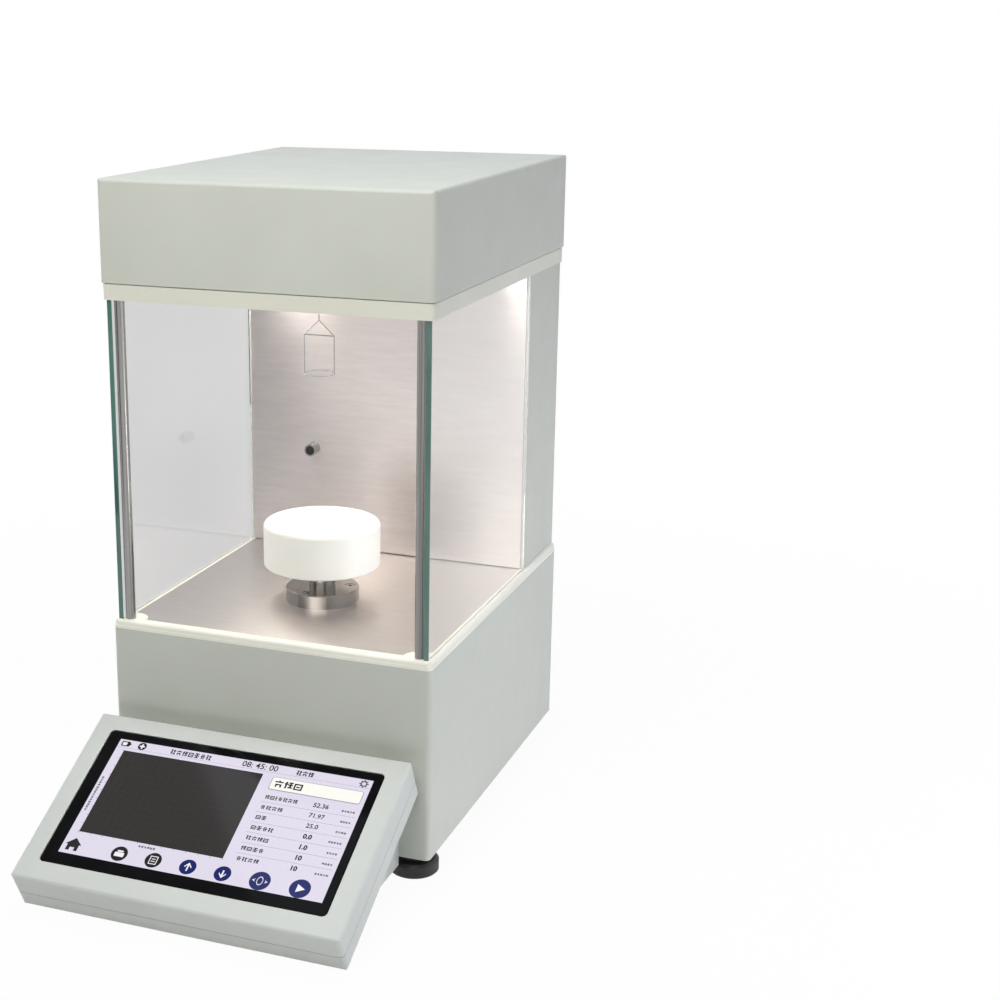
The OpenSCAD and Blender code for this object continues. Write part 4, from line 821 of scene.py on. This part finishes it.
def rocker_marks():
    """On and off marks, a bar and a hoop, printed on the rocker's two faces."""
    axis = rear_face("switch_bezel") + Vector((0, -2 * MM, 0))
    place = Matrix.Translation(axis) @ Matrix.Rotation(math.radians(-8), 4, "X")
    middle, rise, lift = 1.58, 0.9 / 8.65, 0.04  # the rocker's faces rise from its middle
    bm = bmesh.new()

    def spot(x, v):
        return bm.verts.new(place @ (Vector((x, middle + abs(v) * rise + lift, v)) * MM))

    bm.faces.new([spot(x, v) for x, v in ((-0.35, 2.6), (-0.35, 5.8), (0.35, 5.8), (0.35, 2.6))])
    n = 24
    for i in range(n):
        a, b = math.tau * i / n, math.tau * (i + 1) / n
        bm.faces.new([spot(r * math.cos(t), -4.2 + r * math.sin(t))
                      for r, t in ((1.2, a), (1.2, b), (1.75, b), (1.75, a))])
    bm.normal_update()
    bmesh.ops.reverse_faces(bm, faces=[f for f in bm.faces if f.normal.y < 0])
    make_piece("rocker_marks", mesh_from(bm, "rocker_marks", [WHITE]), "rocker")


def port_contacts():
    """Black insert of the data port, with a brass rim round each contact hole."""
    insert, rims = bmesh.new(), bmesh.new()
    place = Matrix.Translation(rear_face("data_port")) \
        @ Matrix.Rotation(math.radians(-90), 4, "X") @ Matrix.Scale(MM, 4)
    insert_lift, rim_lift, step, hole, rim = 0.03, 0.06, 2.8, 0.5, 0.8
    insert.faces.new([insert.verts.new((x, y, insert_lift))
                      for x, y in round_outline(15.4, 7.0, 1.2, 5)])
    n = 16
    for y, count in ((-step / 2, 5), (step / 2, 4)):
        for i in range(count):
            x = (i - (count - 1) / 2) * step
            for k in range(n):
                a, b = math.tau * k / n, math.tau * (k + 1) / n
                rims.faces.new([
                    rims.verts.new((x + r * math.cos(t), y + r * math.sin(t), rim_lift))
                    for r, t in ((hole, a), (rim, a), (rim, b), (hole, b))])
    for bm, name, finish, slot in ((insert, "port_insert", BLACK, "black_plastic"),
                                   (rims, "port_contact_rims", BRASS, "nut_brass")):
        bm.transform(place)
        bm.normal_update()
        bmesh.ops.reverse_faces(bm, faces=[f for f in bm.faces if f.normal.y < 0])
        make_piece(name, mesh_from(bm, name, [finish]), "frame")


inlet_pins()
fuse_drawer()
rocker_marks()
port_contacts()

# ---------------------------------------------------------------- studio


def backdrop(nt):
    """Whether a ray shows the bare backdrop, and the backdrop's colour on that ray.

    White to the camera and in mirrors, and a pale grey through glass.
    """
    path = nt.nodes.new("ShaderNodeLightPath")
    seen = path.outputs["Is Camera Ray"]
    for kind in ("Is Glossy Ray", "Is Transmission Ray"):
        either = nt.nodes.new("ShaderNodeMath")
        either.operation = "MAXIMUM"
        nt.links.new(seen, either.inputs[0])
        nt.links.new(path.outputs[kind], either.inputs[1])
        seen = either.outputs[0]
    tone = nt.nodes.new("ShaderNodeMix")
    tone.data_type = "RGBA"
    tone.inputs["A"].default_value = (1, 1, 1, 1)
    tone.inputs["B"].default_value = (0.74, 0.745, 0.755, 1)
    nt.links.new(path.outputs["Is Transmission Ray"], tone.inputs["Factor"])
    return seen, tone.outputs["Result"]


def flat_board(name, material, w, h, place):
    """A rectangle of the studio, which is no piece of the object."""
    mesh = bpy.data.meshes.new(name)
    mesh.from_pydata([(-w / 2, -h / 2, 0), (w / 2, -h / 2, 0), (w / 2, h / 2, 0),
                      (-w / 2, h / 2, 0)], [], [(0, 1, 2, 3)])
    mesh.materials.append(material)
    mesh.transform(place)
    obj = bpy.data.objects.new(name, mesh)
    bpy.context.scene.collection.objects.link(obj)
    return obj


def studio_floor():
    """Pale floor that takes soft shadow near the object and fades into the backdrop."""
    f = Finish("studio_floor", (0.86, 0.86, 0.86, 1), 0.9)
    f.tone(f.noise(2, 2), (0.85, 0.85, 0.85, 1), (0.87, 0.87, 0.87, 1))
    glow = f.nt.nodes.new("ShaderNodeEmission")
    seen, tone = backdrop(f.nt)
    away = f.nt.nodes.new("ShaderNodeVectorMath")
    away.operation = "LENGTH"
    f.nt.links.new(f.place, away.inputs[0])
    share = f.nt.nodes.new("ShaderNodeMath")
    share.operation = "MULTIPLY"
    f.nt.links.new(f.level(away.outputs["Value"], 0.955, 0.998, 0.2, 0.8), share.inputs[0])
    f.nt.links.new(seen, share.inputs[1])
    mix = f.nt.nodes.new("ShaderNodeMixShader")
    f.nt.links.new(share.outputs[0], mix.inputs["Fac"])
    f.nt.links.new(tone, glow.inputs["Color"])
    f.nt.links.new(f.bsdf.outputs["BSDF"], mix.inputs[1])
    f.nt.links.new(glow.outputs["Emission"], mix.inputs[2])
    f.nt.links.new(mix.outputs["Shader"], f.out.inputs["Surface"])
    flat_board("studio_floor", f.mat, 18, 18, Matrix())


def dark_card(name, where, look_at, w, h, glow=0.0):
    """A dark board, seen only in mirrors, that gives bright metal its dark bands."""
    f = Finish(name, (0.02, 0.02, 0.02, 1), 0.9, Emission_Strength=glow)
    turn = (Vector(look_at) - Vector(where)).to_track_quat("Z", "Y").to_matrix().to_4x4()
    obj = flat_board(name, f.mat, w, h, Matrix.Translation(where) @ turn)
    obj.visible_camera = obj.visible_diffuse = obj.visible_shadow = False


def soft_lamp(name, where, look_at, w, h, watts, colour, mirrored=True):
    """An area lamp that no glass shows, and no mirror either if it isn't to be mirrored."""
    lamp = bpy.data.lights.new(name, "AREA")
    lamp.shape = "RECTANGLE"
    lamp.size, lamp.size_y = w, h
    lamp.energy = watts
    lamp.color = colour
    obj = bpy.data.objects.new(name, lamp)
    obj.location = where
    obj.rotation_euler = (Vector(look_at) - Vector(where)).to_track_quat("-Z", "Y").to_euler()
    obj.visible_transmission = False
    obj.visible_glossy = mirrored
    bpy.context.scene.collection.objects.link(obj)


def studio_world():
    """The backdrop where rays show it, and a plain soft grey as light."""
    world = bpy.data.worlds.new("studio_world")
    bpy.context.scene.world = world
    world.use_nodes = True
    nt = world.node_tree
    nt.nodes.clear()
    out = nt.nodes.new("ShaderNodeOutputWorld")
    soft, white = (nt.nodes.new("ShaderNodeBackground") for _ in range(2))
    soft.inputs["Color"].default_value = (0.94, 0.97, 1.0, 1)
    soft.inputs["Strength"].default_value = 0.02
    white.inputs["Strength"].default_value = 1.0
    mix = nt.nodes.new("ShaderNodeMixShader")
    seen, tone = backdrop(nt)
    nt.links.new(tone, white.inputs["Color"])
    nt.links.new(seen, mix.inputs["Fac"])
    nt.links.new(soft.outputs[0], mix.inputs[1])
    nt.links.new(white.outputs[0], mix.inputs[2])
    nt.links.new(mix.outputs[0], out.inputs["Surface"])


studio_floor()
studio_world()
AIM = (0.0, 0.03, 0.2)
soft_lamp("front_lamp", (0.03, -0.62, 0.86), (0, -0.07, 0.36), 0.6, 0.3, 4.3,
          (1.0, 0.97, 0.90))
soft_lamp("front_fill", (-0.1, -0.95, 0.75), (0, -0.07, 0.37), 0.5, 0.3, 1.1, (0.9, 1.0, 0.9))
soft_lamp("top_lamp", (0.1, 0.1, 2.0), AIM, 1.6, 1.6, 18.5, (0.83, 0.92, 1.0))
soft_lamp("rear_fill", (-0.5, 1.5, 0.14), (0, 0.18, 0.14), 0.8, 0.24, 7, (0.96, 0.98, 1.0),
          mirrored=False)
soft_lamp("left_fill", (-1.5, 0.1, 0.14), (-0.1, 0.0, 0.14), 0.9, 0.24, 4, (0.96, 0.98, 1.0),
          mirrored=False)
soft_lamp("right_lamp", (0.62, 0.05, 0.07), (0.1, 0.06, 0.06), 0.4, 0.1, 1.2, (0.93, 0.95, 1.0))
dark_card("dark_card_left", (-1.9, -1.6, 0.5), AIM, 0.5, 1.6)
dark_card("dark_card_right", (1.15, -1.3, 0.45), AIM, 0.35, 1.4)
dark_card("dark_card_front", (-0.262, -0.37, 0.28), (-0.262, 0.5, 0.28), 0.06, 0.36)
dark_card("grey_card_front", (-0.347, -0.37, 0.28), (-0.347, 0.5, 0.28), 0.11, 0.34, 0.15)


def photo_camera():
    """The camera that the photograph's straight edges gave, placed in the frame."""
    right = Vector((0.9258652, 0.3778484, -0.0020613))
    down = Vector((0.1023114, -0.2559441, -0.9612622))
    ahead = Vector((-0.3637389, 0.8897883, -0.2756279))
    cam = bpy.data.cameras.new("photo_camera")
    cam.sensor_width = 36
    cam.lens = 64.17
    cam.shift_x = 0.1508
    cam.shift_y = 0.0191
    cam.clip_end = 50
    obj = bpy.data.objects.new("photo_camera", cam)
    turn = Matrix((right, -down, -ahead)).transposed()
    where = Vector((MID_X + 0.4082, FRONT_Y - 0.8729, 0.4823))
    obj.matrix_world = Matrix.Translation(where) @ turn.to_4x4()
    bpy.context.scene.collection.objects.link(obj)
    bpy.context.scene.camera = obj


photo_camera()
bpy.context.scene.view_settings.view_transform = "Standard"
